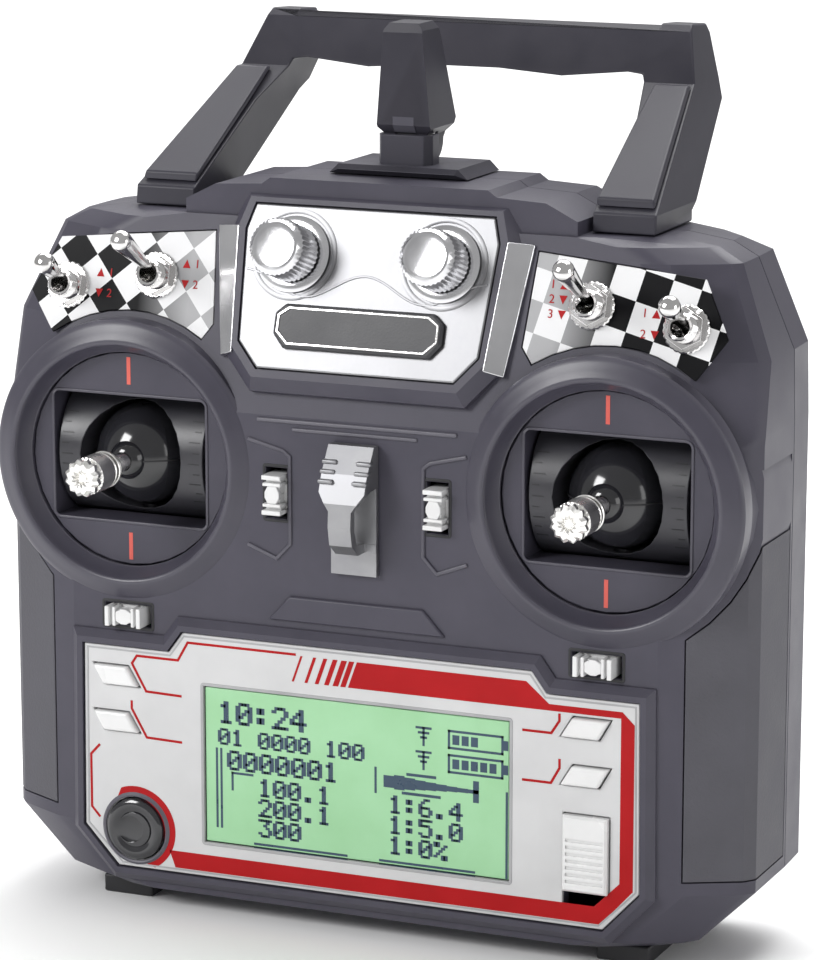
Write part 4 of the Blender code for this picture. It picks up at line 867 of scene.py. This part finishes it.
def panel_print():
    """Red bars, slanted stripes, thin lines and the crescent, as printed films."""
    low = PANEL_OUT - 0.02 * MM
    high = PANEL_OUT + FILM
    bar = mm([(-1.4, -44.4), (0.7, -38.6), (39.4, -38.6), (44.6, -43.0), (60.9, -43.0), (63.6, -45.6),
              (63.6, -81.6), (56.4, -89.6), (-43.0, -89.6), (-44.4, -85.8), (55.0, -85.8), (60.6, -80.2),
              (60.6, -44.4)])
    prism("red_bar", bar, low, high, FACE, RED, "casing")
    bm = bmesh.new()
    for x, wide in ((-14.6, 0.5), (-11.6, 0.7), (-9.2, 0.9), (-7.0, 1.1), (-5.0, 1.3), (-3.2, 1.2)):
        stripe = mm([(x, -44.4), (x + wide, -44.4), (x + wide + 2.1, -38.6), (x + 2.1, -38.6)])
        add_prism(bm, stripe, low, high, FACE)
    finished("red_stripes", bm, RED, "casing")
    lines = [mm([(-13.6, -38.4), (-39.4, -38.4), (-41.8, -42.6), (-51.8, -42.6), (-53.0, -44.4),
                 (-49.6, -50.4), (-41.0, -50.6)]),
             mm([(-53.2, -52.8), (-53.2, -54.6), (-49.6, -60.8), (-41.0, -61.0)]),
             mm([(-61.2, -63.6), (-63.4, -66.0), (-63.4, -78.0), (-61.4, -80.2)]),
             mm([(46.9, -44.8), (46.9, -46.4), (45.1, -49.2), (38.6, -49.2)]),
             mm([(47.0, -54.6), (47.0, -56.6), (45.1, -60.0), (38.6, -60.0)])]
    strip("red_lines", lines, 0.55 * MM, low, high, FACE, RED, "casing")
    edge = mm([(56.0, -89.9), (64.2, -81.7), (63.8, -41.7), (43.7, -41.7), (40.3, -37.1)])
    strip("overlay_edge", [mirrored(edge)], 0.35 * MM, low, high + 0.04 * MM, FACE, SILVER, "casing",
          closed=True)
    centre = (-52.5 * MM, -81.8 * MM)
    outer = arc(centre, 9.6 * MM, 112, -62, 30)
    inner = arc((centre[0] - 0.9 * MM, centre[1] - 0.5 * MM), 7.9 * MM, -66, 118, 30)
    prism("bind_crescent", (outer + inner)[::-1], low, high, FACE, RED, "casing")


def key_caps():
    """The slanted keys, the power slider and the round glossy bind key in its collar."""
    for _, word in SIDES:
        for level in ("upper", "lower"):
            name = f"key_{word}_{level}"
            refined(name, WHITE, name, 0.3 * MM)
    refined("power_slider", WHITE, "power_slider", 0.25 * MM)
    low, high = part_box("bind_key")
    x = (low.x + high.x) / 2
    up = (low.z + high.z) / 2 - GIMBAL_UP
    place = plane(x, 0, up)
    profile = mm([(0, 2.0), (2.0, 2.05), (3.6, 2.3), (4.6, 2.75), (5.4, 2.95), (6.2, 2.85), (6.75, 2.4),
                  (6.9, 1.6), (6.9, -1.5), (0, -1.5)])
    button = lathe("bind_button", profile, place, GLOSS, "bind_key", 96)
    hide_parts("bind_key")
    outer = arc((0, 0), 3.9 * MM, -150, 150, 24)
    inner = arc((-0.9 * MM, 0), 3.0 * MM, 140, -140, 24)
    prism("bind_moon", outer + inner, 1.8 * MM, 2.75 * MM, place, GLOSS, "bind_key", 0.2 * MM)
    collar = mm([(7.25, 0.9), (7.3, 1.85), (7.7, 2.0), (8.2, 1.6), (8.2, 0.9)])
    lathe("bind_collar", collar, place, BODY_SMOOTH, "casing", 96)


# ---------------------------------------------------------------- studio

FLOOR_RADIUS = 9.0
SURROUND_STRENGTH = 0.42
LENS = 149.8
# The camera's place in millimetres from the point that it looks at.
EYE = (326.4, -754.2, 176.2)


def studio():
    """A pale floor, a white surround and soft lights."""
    floor_mesh = bmesh.new()
    bmesh.ops.create_circle(floor_mesh, cap_ends=True, segments=64, radius=FLOOR_RADIUS)
    mesh = bpy.data.meshes.new("floor")
    floor_mesh.to_mesh(mesh)
    floor_mesh.free()
    floor = bpy.data.objects.new("floor", mesh)
    SCENE.collection.objects.link(floor)
    mesh.materials.append(floor_material())
    world = bpy.data.worlds.new("studio")
    world.use_nodes = True
    SCENE.world = world
    background = world.node_tree.nodes["Background"]
    background.inputs["Color"].default_value = (1.0, 1.0, 1.0, 1.0)
    background.inputs["Strength"].default_value = SURROUND_STRENGTH
    middle = (0.0, 0.0, 0.1)
    area_light("key", (-0.75, -1.0, 0.8), middle, 0.5, 11.5)
    area_light("side", (1.0, -0.25, 0.3), middle, 0.5, 1.5)
    area_light("top", (0.1, 0.3, 0.95), middle, 0.6, 5.0)
    area_light("backdrop", (-0.6, 1.6, 1.8), (-0.6, 1.6, 0.0), 2.4, 50.0)
    SCENE.view_settings.view_transform = "Standard"


def floor_material():
    made = bpy.data.materials.new("floor_paper")
    made.use_nodes = True
    shader = made.node_tree.nodes["Principled BSDF"]
    shader.inputs["Base Color"].default_value = (0.95, 0.95, 0.95, 1.0)
    shader.inputs["Roughness"].default_value = 0.9
    return made


def area_light(name, place, target, size, power):
    """A square light that faces its target. The power is in watts."""
    data = bpy.data.lights.new(name, "AREA")
    data.shape = "SQUARE"
    data.size = size
    data.energy = power
    light = bpy.data.objects.new(name, data)
    SCENE.collection.objects.link(light)
    light.location = place
    light.rotation_euler = (Vector(target) - Vector(place)).to_track_quat("-Z", "Y").to_euler()


def camera():
    """A view from the right and a little above, with a long lens."""
    data = bpy.data.cameras.new("camera")
    data.lens = LENS
    data.sensor_width = 36.0
    eye = bpy.data.objects.new("camera", data)
    SCENE.collection.objects.link(eye)
    target = Vector((10.5 * MM, FACE_Y + GIMBAL_DEPTH, GIMBAL_UP + 0.9 * MM))
    eye.location = target + Vector(EYE) * MM
    eye.rotation_euler = (target - eye.location).to_track_quat("-Z", "Y").to_euler()
    SCENE.camera = eye


casing()
face_details()
trims()
for hand, label in SIDES:
    gimbal(hand, label)
control_plate()
switches()
hook()
display()
panel_print()
key_caps()
studio()
camera()
